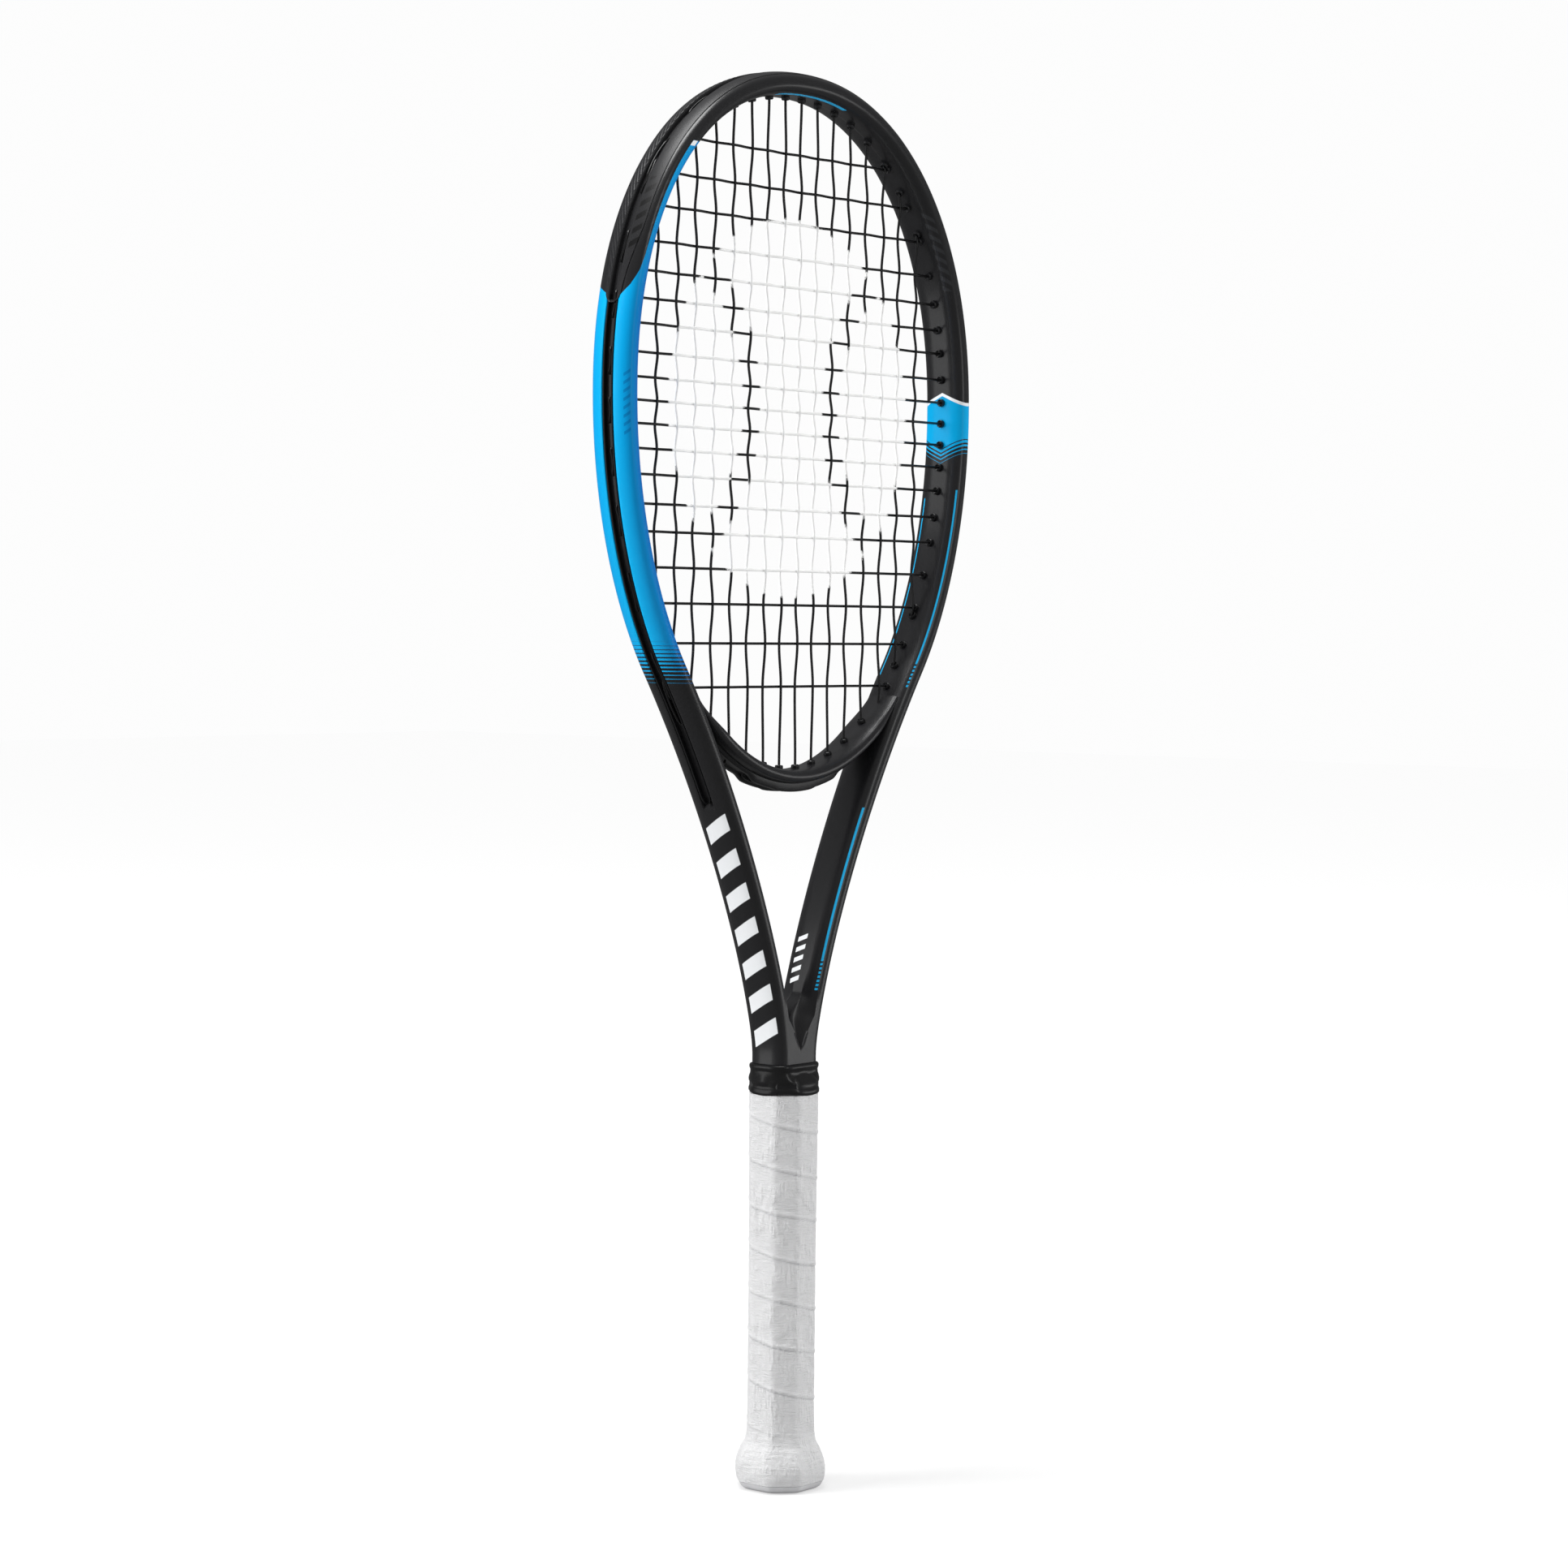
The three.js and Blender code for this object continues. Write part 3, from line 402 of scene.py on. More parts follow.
# Where the paint changes, as heights in mm.
PANEL_FADE_Z, PANEL_FULL_Z, PANEL_TIP_Z, PANEL_TOP_Z, REAR_PANEL_TOP_Z = 392, 413, 641.6, 644, 569
PANEL_EDGE = [  # height, and the turn in degrees at which the front panel starts
    (560, 0), (569, 14), (575, 42), (582, 64), (589, 74), (598, 79), (612, 82), (628, 83), (640, 84),
    (645, 85), (656, 140),
]
PATCH_LOW_Z, PATCH_FLOOR_Z, PATCH_TOP_Z = 495, 512, 538
BIG_BARS_Z, SMALL_BARS_Z = 218.9, 247.5  # foot of each row of white bars


def sides(paint):
    """Masks of the left and right sides, and of the front and back halves."""
    return paint.x.below(0, 0.01), paint.x.above(0, 0.01), paint.y.below(0, 0.01), paint.y.above(0, 0.01)


def panel_masks(paint, turn):
    """Big panel on the left of the hoop, front and rear, hatched at its lower end, and its thin white tip."""
    left, _, front, back = sides(paint)
    z = paint.z
    fade = z.wave(1.9).above((PANEL_FULL_Z - z) / (PANEL_FULL_Z - PANEL_FADE_Z), 0.12)
    hatched = z.above(PANEL_FULL_Z, 0.1).either(z.between(PANEL_FADE_Z, PANEL_FULL_Z) * fade)
    past_edge = left * front * (turn - paint.curve(z, PANEL_EDGE)).above(0, 1.6)
    panel = past_edge * hatched * z.below(PANEL_TOP_Z, 0.4)
    rear_panel = left * back * (z - paint.y * 0.55).below(REAR_PANEL_TOP_Z, 0.3) * hatched
    tip = past_edge * z.between(PANEL_TIP_Z, PANEL_TOP_Z, 0.4) * turn.below(110, 2)
    return panel, rear_panel, tip


def patch_masks(paint, turn):
    """Patch on the right of the hoop, hatched at its lower end, and the white chevron over it."""
    z = paint.z
    across = sides(paint)[1] * turn.above(52, 1)
    slope = (paint.y + 0.5).size() * 0.45
    chevron, floor = PATCH_TOP_Z - slope, slope + PATCH_FLOOR_Z
    over_floor = z - floor
    fade = (z - slope).wave(2.2).above((floor - z) / 11 + 0.15, 0.08)
    hatched = over_floor.above(0, 0.2).either(over_floor.above(-9, 0.2) * fade)
    patch = across * (chevron - z).above(0, 0.2) * hatched * z.above(PATCH_LOW_Z, 0.2)
    return patch, across * (z - chevron).between(-0.1, 1.5, 0.2)


def dashed_below(z, tail, low, high, pitch):
    """Band from low to high that goes on down to tail as dashes."""
    return z.between(low, high, 0.4).either(z.between(tail, low) * z.wave(pitch).above(0.45, 0.1))


def stripe_mask(paint, turn):
    """Thin blue lines on the right side of the hoop and arm, and under the top of the hoop."""
    _, right, front, back = sides(paint)
    z = paint.z
    hoop_line = right * front * turn.between(121, 128, 1.0) * dashed_below(z, 390, 402, 490, 1.9)
    rear_line = right * back * turn.between(143, 146.5, 1.0) * z.between(396, 486, 0.5)
    arm_line = right * front * turn.between(119, 128, 1.0) * dashed_below(z, 243, 258, 331, 2.0)
    reach = (paint.x + turn * 0.2).between(7, 60, 0.3)
    top_arc = front * turn.between(143, 151, 1.0) * reach * z.above(600, 1)
    return hoop_line.either(rear_line).either(arm_line).either(top_arc)


def bar_masks(paint, turn):
    """Plain slanted bars: white ones on the arms, dark grey ones on the black, and ones on the blue panel."""
    left, right, front, _ = sides(paint)
    y, z = paint.y, paint.z
    up_big, up_small = z + y * 0.55 - BIG_BARS_Z, z + y * 0.4 - SMALL_BARS_Z
    big = y.between(-8.3, 6.0, 0.2) * up_big.between(-1, 110) * up_big.bars(16.6, 0.02, 0.5, 0.02)
    small = y.between(0.6, 6.0, 0.2) * up_small.between(-1, 24) * up_small.bars(5.0, 0.04, 0.5)
    white = (left * turn.below(80, 1) * big).either(right * turn.above(120, 1) * small)
    slant = z - turn * 0.1
    left_face = left * front * turn.between(66, 108, 1.0) * z.between(592, 624, 0.3)
    right_inside = right * front * turn.between(120, 150, 1.0) * z.between(590, 628, 0.3)
    grey = (left_face * slant.bars(6.4, 0.1, 0.55)).either(right_inside * slant.bars(5.0, 0.1, 0.55))
    panel_side = left * front * turn.between(44, 66, 1.0) * z.between(506.5, 537, 0.3)
    return white, grey, panel_side * slant.bars(3.8, 0.1, 0.5)


def frame_paint():
    """Satin black with blue panels. turn runs from 0 at the outside, past 90 on the faces, to 180 inside."""
    paint = Shader("frame_lacquer", "frame_paint", Coat_Roughness=0.16)
    turn = paint.attribute("turn")
    panel, rear_panel, tip = panel_masks(paint, turn)
    patch, chevron = patch_masks(paint, turn)
    white_bars, grey_bars, blue_bars = bar_masks(paint, turn)
    painted_panel_shade = ((turn - 8) / 95 - paint.z.above(595, 60) * 0.4).clamped()  # painted shade: the blue deepens inwards, and less near the top
    # Painted shade on the blue panels: bright blue on the outer bevel, deepening inwards.
    panel_blue_and_shade = paint.blend(BRIGHT_BLUE, PANEL_SHADE_BLUE, painted_panel_shade)

    colour = paint.blend(BLACK, DARK_GREY, grey_bars)
    colour = paint.blend(colour, panel_blue_and_shade, panel.either(rear_panel))
    colour = paint.blend(colour, BAR_BLUE, blue_bars * panel * 0.6)
    colour = paint.blend(colour, PATCH_BLUE, patch)
    colour = paint.blend(colour, BRIGHT_BLUE, stripe_mask(paint, turn))
    colour = paint.blend(colour, WHITE, tip.either(chevron).either(white_bars))
    any_blue = panel.either(rear_panel).either(patch)
    paint.set(
        Base_Color=colour, Roughness=paint.noise(0.35, 2) * 0.08 + 0.31,
        Coat_Weight=0.35 - any_blue * 0.25, Specular_IOR_Level=0.5 - any_blue * 0.38)
    paint.bump(paint.noise(2.2, 2), 0.02)
    return paint


def darker(colour, share):
    """Colour with its brightness cut to a share."""
    return tuple(part * share for part in colour[:3]) + (1,)


def simple(name, slot, colour, grain, depth, **values):
    """One colour with a little variation and a fine grain."""
    made = Shader(name, slot, **values)
    made.set(Base_Color=made.blend(colour, darker(colour, 0.86), made.noise(0.25)))
    made.bump(made.noise(grain), depth)
    return made


def string_finish():
    """Black string with the outline of a plain ball and its two seams stencilled on the bed in white."""
    made = Shader("string_and_stencil", "string")
    ball_z, ball_radius, seam_x, seam_radius, seam_half = 525, 91, 108, 78, 6.5

    def distance_from(x):
        return ((made.x - x) * (made.x - x) + (made.z - ball_z) * (made.z - ball_z)).math("SQRT")

    ragged = made.noise(0.9, 2) * 3 - 1.5
    mark = (distance_from(0) + ragged).below(ball_radius, 1.2)
    for side in (-1, 1):
        off_seam = (distance_from(side * seam_x) - seam_radius).size()
        mark = mark * (off_seam + ragged).above(seam_half, 1.2)
    colour = made.blend(linear(22, 22, 23), linear(244, 244, 243), mark)
    made.set(Base_Color=colour, Roughness=mark * 0.3 + 0.28)
    return made


def grip_finish():
    """Soft white wrap with creases across it and pleats in patches, with painted shade in the hollows of the
    creases and pleats, a little random tone from its pores, and a darker line of painted shade along the
    overlap.
    """
    made = Shader("wrapped_grip", "grip", Roughness=0.62, Sheen_Weight=0.15)
    crease = made.noise(0.55, 5, (0.35, 0.35, 2.6), 0.62)
    pores = made.noise(3.2, 2)
    seam = made.attribute("seam")
    patches = made.noise(0.09, 2).above(0.52, 0.16)
    pleats = made.noise(0.8, 3, (1, 1, 0.2)) * patches
    # Painted shade: the wrap is darker in the hollows of its creases and pleats, with a little random tone
    # from the pores.
    crease_shade_and_tone = (crease - 0.5) * 0.55 + (pores - 0.5) * 0.15 + (pleats - 0.25) * 0.3 + 0.5
    colour = made.blend(linear(224, 224, 225), linear(244, 244, 245), crease_shade_and_tone)
    # Painted shade: a darker line along the step of the overlap.
    made.set(Base_Color=made.blend(colour, linear(190, 190, 193), seam * (patches * 0.35 + 0.4)))
    made.bump(crease + pleats * 1.2 + pores * 0.2, 1.2, 0.9)
    return made


def foam_finish(name, colour):
    """Foam with darker cells."""
    made = Shader(name, "foam", Roughness=0.9)
    cells = made.noise(2.4, 4)
    made.set(Base_Color=made.blend(colour, darker(colour, 0.55), cells))
    made.bump(cells, 0.3)
    return made


def bumper_finish():
    """Black nylon with a few darker slanted bars at the upper left."""
    made = Shader("bumper_nylon", "grommet_plastic", Roughness=0.42)
    upper_left = made.x.below(0) * made.y.between(-8.4, -4.0, 0.3) * made.z.between(590, 626, 0.3)
    bars = (made.z + made.y * 0.6).bars(6.4, 0.1, 0.55)
    made.set(Base_Color=made.blend(linear(33, 33, 35), linear(8, 8, 9), upper_left * bars))
    made.bump(made.noise(2.0), 0.03)
    return made


LACQUER = frame_paint()
BUMPER = bumper_finish()
NYLON = simple("grommet_nylon", "grommet_plastic", linear(20, 20, 22), 2.0, 0.03, Roughness=0.3)
STRING = string_finish()
WRAP = grip_finish()
CORE = foam_finish("core_foam", linear(92, 92, 96))
PALLET = foam_finish("pallet_foam", linear(70, 70, 72))
CAP = simple("butt_cap_moulding", "cap_plastic", linear(224, 224, 226), 1.6, 0.04, Roughness=0.45)
PLATE = simple("end_plate_moulding", "plate_plastic", linear(150, 152, 156), 1.6, 0.03, Roughness=0.35)
STEEL = simple("staple_wire", "staple_steel", linear(190, 191, 194), 3.0, 0.02, Roughness=0.25, Metallic=1.0)
TAPE = simple("vinyl_tape", "tape", linear(24, 24, 26), 1.0, 0.05, Roughness=0.3)
RUBBER = simple(
    "collar_rubber", "collar_rubber", linear(18, 18, 19), 1.2, 0.05, Roughness=0.32, Coat_Weight=0.15)


# ---------------------------------------------------------------- hairpin frame

def groove_amount(s):
    """1 where the outer groove is full, easing to 0 just past the side strips."""
    return 1 - smooth(np.abs(s), STRIP_END_S + 0.4, STRIP_END_S + 3.0)


def bumper_amount(s):
    """1 under the bumper, easing to 0 at its ends."""
    return 1 - smooth(np.abs(s), BUMPER_END_S - 3, BUMPER_END_S + 1)


def bumper_wing(s):
    """Half width of the bumper: broad over the top, with a rounded point at each end."""
    left = BUMPER_END_S - np.abs(s)
    point = np.clip(left / 5, 0, 1)
    return mix(4.4, 9.2, smooth(left, 0, 42)) * np.sqrt(point * (2 - point))


def frame_depth(z):
    """Half depth of the tube along y: shallow in the handle, deepest round the hoop."""
    depth = mix(mix(10.55, 11.1, smooth(z, 216, 250)), 12.0, smooth(z, 260, ARM_START_Z))
    return mix(10.2, depth, smooth(z, *HANDLE_Z))


def outer_wall(s, depth, outer, power):
    """From the middle of the outer face to the tube's +Y face: the groove, its edge and the body."""
    groove_y = row(0, 0.4, 0.75, 0.96) * GROOVE_HALF
    edge_y = row(1.02, 1.06, 1.13, 1.25) * GROOVE_HALF
    start = np.arcsin(np.clip(1.4 * GROOVE_HALF / depth, 0, 1) ** (1 / power))
    body_y = depth * np.sin(start + (math.pi / 2 - start) * np.linspace(0, 1, 13)) ** power
    y = np.concatenate([groove_y.repeat(len(s), 0), edge_y.repeat(len(s), 0), body_y], 1)
    out = outer * np.clip(1 - (y / depth) ** (2 / power), 0, 1) ** (power / 2)
    out[:, -1] = 0
    lowered = column(bumper_amount(s)) * smooth(column(bumper_wing(s)) - 0.2 - y, -0.6, 1.4)
    out = out - 0.9 * lowered
    amount = column(groove_amount(s))
    out[:, :4] = mix(out[:, :4], GROOVE_FLOOR, amount)
    out[:, 4:8] -= amount * row(2.1, 0.7, 0.22, 0.05) * (1 - 0.4 * lowered[:, 4:8])
    return out, y


def inner_wall(z, depth, inner, reach, boxed):
    """From the tube's +Y face to the middle of the inner face, with a crest where the two tubes meet."""
    closing = column(np.clip((THROAT_Z + 3 - z) / (THROAT_Z + 3 - NOTCH_Z), 0, 1))
    side_low = mix(0.3, 1.0, closing ** 1.5) * depth
    corner = np.linspace(0, math.pi / 2, 15)[None, 1:]
    power = 2 / mix(2.3, 2.0, boxed)
    round_out = -inner * np.sin(corner) ** power
    round_y = side_low + (depth - side_low) * np.cos(corner) ** power

    crest, flat_share = mix(2.6, column(reach), closing), 0.4
    share = np.linspace(0, 1, 15)[None, 1:]
    fall = (share - flat_share) / (1 - flat_share)
    crested_out = np.where(share < flat_share, -crest * share / flat_share, -mix(crest, inner, fall))
    crested_y = np.where(share < flat_share, depth, mix(depth, side_low, smooth(fall, -0.25, 1.0)))
    notched = column(1 - smooth(z, THROAT_Z + 6, THROAT_Z + 26))
    flat_y = side_low * np.linspace(1, 0, 6)[None, 1:]
    out = np.concatenate([mix(round_out, crested_out, notched), (-inner).repeat(5, 1)], 1)
    return out, np.concatenate([mix(round_y, crested_y, notched), flat_y], 1)


def frame_section(s):
    """+Y half of the tube's section at each length, with how far each point has turned round the tube."""
    x, z, nx, _ = hairpin.at(s)
    depth = column(frame_depth(z))
    handle = 1 - smooth(z, *HANDLE_Z)
    outer = column(mix(mix(5.15, TUBE_OUT, smooth(z, 214, 245)), 2.2, handle))
    reach = np.abs(x) / np.maximum(np.abs(nx), 0.2)  # from the centreline inwards to x = 0
    open_inner = mix(TUBE_OUT, reach, 1 - smooth(z, THROAT_Z, THROAT_Z + 13))
    inner = column(np.where(z < THROAT_Z, reach, open_inner))
    boxed = column(1 - smooth(z, 212, 250))
    outer_out, outer_y = outer_wall(s, depth, outer, 2 / mix(2.5, 3.3, boxed))
    inner_out, inner_y = inner_wall(z, depth, inner, reach, boxed)
    out = np.concatenate([outer_out, inner_out], 1)
    y = np.concatenate([outer_y, inner_y], 1)
    turn = np.degrees(np.arctan2(y / depth, out / np.where(out > 0, outer, inner)))
    return out, y, turn


def add_hairpin():
    """Hoop, shafts and stub in one sweep, from one end of the tube over the tip to the other."""
    fine = np.concatenate([np.arange(0, hairpin.where(1, 190), 1.3), [hairpin.where(1, 150), TUBE_END_S]])
    s = np.concatenate([-fine[:0:-1], fine])
    out, y, turn = frame_section(s)
    turn = np.concatenate([turn, turn[:, ::-1]], 1)
    add_rings(
        "hairpin", closed_sweep(hairpin, s, out, y), LACQUER, "hairpin_frame",
        attributes={"turn": turn.reshape(-1)})


add_hairpin()


# ---------------------------------------------------------------- throat bridge

def superellipse_half(half_out, depth, power, count):
    """+Y half of a superellipse from the outer face to the inner one."""
    angles = np.linspace(0, math.pi, count)[None]
    out = half_out * np.sign(np.cos(angles)) * np.abs(np.cos(angles)) ** (2 / power)
    return out, depth * np.sin(angles).clip(0) ** (2 / power)


def add_bridge():
    """Bar between the arms, slimmer where it sinks into them."""
    end = bridge.where(0, BRIDGE_HALF_WIDTH * math.sin(BRIDGE_TURN))
    s = np.linspace(-end, end, 150)
    depth = column(mix(10.4, 11.3, (s / end) ** 2))
    out, y = superellipse_half(BRIDGE_OUT, depth, 2.7, 28)
    sinking = column(smooth(np.abs(s), end - 26, end))
    rings = closed_sweep(bridge, s, out * (1 - 0.5 * sinking), y * (1 - 0.2 * sinking))
    all_outside = np.zeros(rings.shape[0] * rings.shape[1])
    add_rings("bridge", rings, LACQUER, "throat_bridge", attributes={"turn": all_outside})


add_bridge()


# ---------------------------------------------------------------- string ends

TIP_GAP = 1.2  # from the tube's inner face to the lip of the grommet
TIP_OUT = -TUBE_OUT - TIP_GAP
FLOOR_OUT, BRIDGE_FLOOR_OUT = 3.55, 4.85  # floors of the channels that the strings run in
FIRST_CROSS_S = 30  # the hoop is too flat nearer the tip to place a cross by its height


class End:
    """Where a string meets the frame: its tip inside, its exit outside and its place on the path."""

    def __init__(self, path, tip, s, floor, sign=1):
        x, z, nx, nz = (float(v[0]) for v in path.at(s))
        self.path, self.s, self.floor, self.sign = path, s, floor, sign
        self.tip = np.array([sign * tip[0], 0, tip[1]])
        self.exit = np.array([sign * (x + nx * floor), 0, z + nz * floor])
        self.along = (self.exit - self.tip) / np.linalg.norm(self.exit - self.tip)

    def mirrored(self):
        x = self.tip[0]
        return End(self.path, (abs(x), self.tip[2]), self.s, self.floor, -self.sign)


def point_off(path, s, out):
    """Place at a length along the path and a distance out from it, as x and z."""
    x, z, nx, nz = (float(v[0]) for v in path.at(s))
    return np.array([x + nx * out, z + nz * out])


def end_on(path, axis, value, tip_out, floor, low, high, slant):
    """String end whose tip lies at a value of x or z. With slant 0 it leaves square to the path."""
    tip_s = path.where(axis, value, tip_out, low, high)
    hit_s = path.where(axis, value, 0, low, high)
    return End(path, point_off(path, tip_s, tip_out), mix(tip_s, hit_s, slant), floor)


def low_main(x, index):
    """Lower end of a main: in the bridge for the inner ones, and in the hoop for the rest."""
    if index < BRIDGE_MAINS:
        return end_on(bridge, 0, x, -BRIDGE_OUT - TIP_GAP, BRIDGE_FLOOR_OUT, 0, None, 0.7)
    return end_on(hairpin, 0, x, TIP_OUT, FLOOR_OUT, WIDEST_S, LOWEST_END_S, 0.2)


def both_sides(ends):
    """Ends on both sides of the racket, from left to right."""
    return [end.mirrored() for end in reversed(ends)] + list(ends)


top_ends = [end_on(hairpin, 0, x, TIP_OUT, FLOOR_OUT, 0, WIDEST_S, 0.2) for x in MAIN_OFFSETS]
low_ends = [low_main(x, i) for i, x in enumerate(MAIN_OFFSETS)]
side_ends = [
    end_on(hairpin, 1, z, TIP_OUT, FLOOR_OUT, FIRST_CROSS_S, LOWEST_END_S, 0.2) for z in CROSS_HEIGHTS]


# ---------------------------------------------------------------- grommet strips and bumper

SIDE_BARREL, TOP_BARREL, THROAT_BARREL = 8.5, 7.5, 7.0  # lengths of the grommets' barrels


def grommet_tube(end, length, sides=16):
    """Barrel through the frame with a flared mouth on the string side."""
    mouth = [(0.2, 0.9), (-0.5, 1.6), (-0.2, 1.95), (0.6, 2.05), (1.5, 1.95), (2.3, 1.65)]
    profile = mouth + [(length, 1.5)]
    points = np.array([end.tip + end.along * t for t, _ in profile])
    radii = np.array([r for _, r in profile])
    turn = np.arange(sides) * 2 * math.pi / sides
    up = np.array([0, 1, 0])
    ring = np.cross(end.along, up) * column(np.cos(turn)) + up * column(np.sin(turn))
    vertices = (points[:, None] + radii[:, None, None] * ring[None]).reshape(-1, 3)
    return vertices, skin((len(points), sides))


def tubes_on(ends, length):
    return [grommet_tube(end, length) for end in ends]


def channel_strip(s, squeeze):
    """Side strip with a channel down its middle. squeeze narrows it towards its ends."""
    top, floor, base, width = 5.35, FLOOR_OUT - 0.2, 2.4, 3.0
    half_y = row(0, 0.45, 0.62, 0.68, 0.71, 0.76, 0.93, 0.99, 1.0, 0.96, 0.5, 0) * width * column(squeeze)
    channel = (floor, floor, floor + 0.12, floor + 0.5)
    rim = (top - 0.15, top, top, top - 0.12, top - 0.4)
    grid = closed_sweep(hairpin, s, row(*channel, *rim, base, base, base), half_y)
    return grid.reshape(-1, 3), skin(grid.shape[:2])


def side_strip(sign):
    """Strip down one side of the hoop, with its barrels. It starts under the end of the bumper."""
    lap, tip = 4, 4
    rounding = STRIP_END_S - tip * (1 - np.sin(np.linspace(0, math.pi / 2, 9)))
    s = np.concatenate([np.arange(BUMPER_END_S - lap, STRIP_END_S - tip, 2.0), rounding])
    left = np.clip((STRIP_END_S - s) / tip, 0, 1)
    body = channel_strip(s * sign, np.sqrt(left * (2 - left)) * 0.98 + 0.02)
    ends = [end for end in low_ends + side_ends if end.path is hairpin and end.s > BUMPER_END_S]
    return gather([body] + tubes_on([end if sign > 0 else end.mirrored() for end in ends], SIDE_BARREL))


for sign, label in ((-1, "left"), (1, "right")):
    piece = add_mesh(f"side_grommets_{label}", *side_strip(sign), NYLON.material)
    stand_for(piece, f"grommet_strip_{label}")


def frame_outer(y, depth, power=2.5):
    """How far out the hoop's outer face lies at each y."""
    return TUBE_OUT * np.clip(1 - (y / depth) ** power, 0, 1) ** (1 / power)


def bumper_shell():
    """Guard over the frame's outer face, with a channel for the string loops and ribs on its rear half."""
    s = np.arange(-BUMPER_END_S + 0.05, BUMPER_END_S, 0.36)
    _, z, nx, nz = hairpin.at(s)
    depth, wing, along = column(frame_depth(z)), column(bumper_wing(s)), column(np.abs(s))
    to_end = BUMPER_END_S - along
    channel = np.minimum(2.15, wing * 0.62)
    channel_y = np.linspace(0, 1, 5) * channel * 0.96
    rim_y = channel + row(0.1, 0.3, 0.6)
    wing_y = channel + 0.8 + (wing - channel - 0.8) * np.linspace(0, 1, 20)
    y = np.concatenate([channel_y, rim_y, wing_y, wing * row(1, 1, 0.97, 0.5, 0)], 1)
    surface = frame_outer(y, depth) + 0.18
    out = surface.copy()
    out[:, :5] = mix(FLOOR_OUT - 0.2, out[:, :5], 1 - smooth(to_end, 0, 2))
    out[:, 5:7] -= row(1.2, 0.25)
    out[:, -5:-3] -= row(0.35, 0.95)
    out[:, -3:] = surface[:, -5:-4] - 2.2
    grid = closed_sweep(hairpin, s, out, y)
    ribbed = smooth(y, channel + 0.6, channel + 1.2) * (1 - smooth(y, wing - 1.3, wing - 0.5))
    phase = 2 * math.pi * (0.35 * along + 0.8 * y) / 1.5
    ribs = 0.34 * ribbed * smooth(to_end, 3, 12) * (0.5 + 0.5 * np.cos(phase))
    grid[:, :y.shape[1], 0] -= column(nx) * ribs
    grid[:, :y.shape[1], 2] -= column(nz) * ribs
    return grid.reshape(-1, 3), skin(grid.shape[:2])


bumper_ends = [end for end in top_ends + side_ends if end.s < BUMPER_END_S]
bumper_tubes = tubes_on(bumper_ends + [end.mirrored() for end in bumper_ends], TOP_BARREL)
bumper_piece = add_mesh(
    "bumper_and_top_grommets", *gather([bumper_shell()] + bumper_tubes), BUMPER.material, sharp=50)
stand_for(bumper_piece, "bumper_guard")


def throat_shell():
    """Stepped strip under the bridge."""
    end = bridge.where(0, BRIDGE_HALF_WIDTH * math.sin(THROAT_STRIP_TURN))
    s = np.linspace(-end, end, 180)
    share = np.abs(s) / end
    step = 1.2 + 1.9 * (1 - smooth(share, 0.42, 0.52)) + 0.5 * (1 - smooth(share, 0.18, 0.24))
    step = step * np.sqrt(np.clip((1 - share) / 0.05, 0, 1)) + 0.02
    half_y = row(0, 1.6, 2.4, 2.7, 3.0, 3.6, 4.4, 4.9, 5.2, 5.4, 3.0, 0)
    lift = row(0.35, 0.35, 0.4, 0.7, 0.97, 1, 1, 0.95, 0.75, 0, 0, 0)
    grid = closed_sweep(bridge, s, BRIDGE_OUT - 0.2 + (column(step) + 0.4) * lift, half_y)
    return grid.reshape(-1, 3), skin(grid.shape[:2])


bridge_ends = [end for end in low_ends if end.path is bridge]
throat_tubes = tubes_on(bridge_ends + [end.mirrored() for end in bridge_ends], THROAT_BARREL)
throat_piece = add_mesh("throat_strip", *gather([throat_shell()] + throat_tubes), NYLON.material)
stand_for(throat_piece, "throat_grommet_strip")


# ---------------------------------------------------------------- strings

def woven(points):
    """Points from one crossing to the next, with a soft rise and fall between them."""
    path = []
    for a, b in zip(points[:-1], points[1:]):
        for t in np.linspace(0, 1, 7)[:-1]:
            ease = (1 - math.cos(math.pi * t)) / 2
            path.append([mix(a[0], b[0], t), mix(a[1], b[1], ease), mix(a[2], b[2], t)])
    return path + [points[-1]]


def loop_between(a, b, y):
    """Loop of string in the outer channel from one hole to the next."""
    out = a.floor + 0.75
    s0, s1 = a.s * a.sign, b.s * b.sign
    points = []
    for t in np.linspace(0.12, 0.88, 7):
        x, z, nx, nz = (float(v[0]) for v in a.path.at(mix(s0, s1, t)))
        points.append([x + nx * out, y * math.sin(math.pi * t), z + nz * out])
    return points


def string_run(runs, loop_y):
    """One length of string through all its runs, looped from hole to hole where both are on the same path."""
    path = []
    for i, (start, across, finish) in enumerate(runs):
        path.append(start.exit + start.along * 0.3)
        path += [list(p) for p in woven([start.tip, *across, finish.tip])]
        path.append(finish.exit + finish.along * 0.3)
        if i + 1 < len(runs) and finish.path is runs[i + 1][0].path:
            path += loop_between(finish, runs[i + 1][0], loop_y)
    return tube_along(path, STRING_RADIUS)


main_x = [-x for x in reversed(MAIN_OFFSETS)] + MAIN_OFFSETS
main_tops, main_lows = both_sides(top_ends), both_sides(low_ends)
CLEAR = 1.2  # strings nearer than this to a string's end don't cross it


def crosses_main(m, z):
    return main_lows[m].tip[2] + CLEAR < z < main_tops[m].tip[2] - CLEAR


def rise(m, c):
    """y of a main where it meets a cross: behind it and in front of it by turns."""
    return WEAVE if (m + c) % 2 == 0 else -WEAVE


def main_run(m):
    """Start, crossings and finish of a main. Every other one runs down."""
    points = [np.array((main_x[m], rise(m, c), z)) for c, z in enumerate(CROSS_HEIGHTS) if crosses_main(m, z)]
    low, high = main_lows[m], main_tops[m]
    return (low, points[::-1], high) if m % 2 == 0 else (high, points, low)


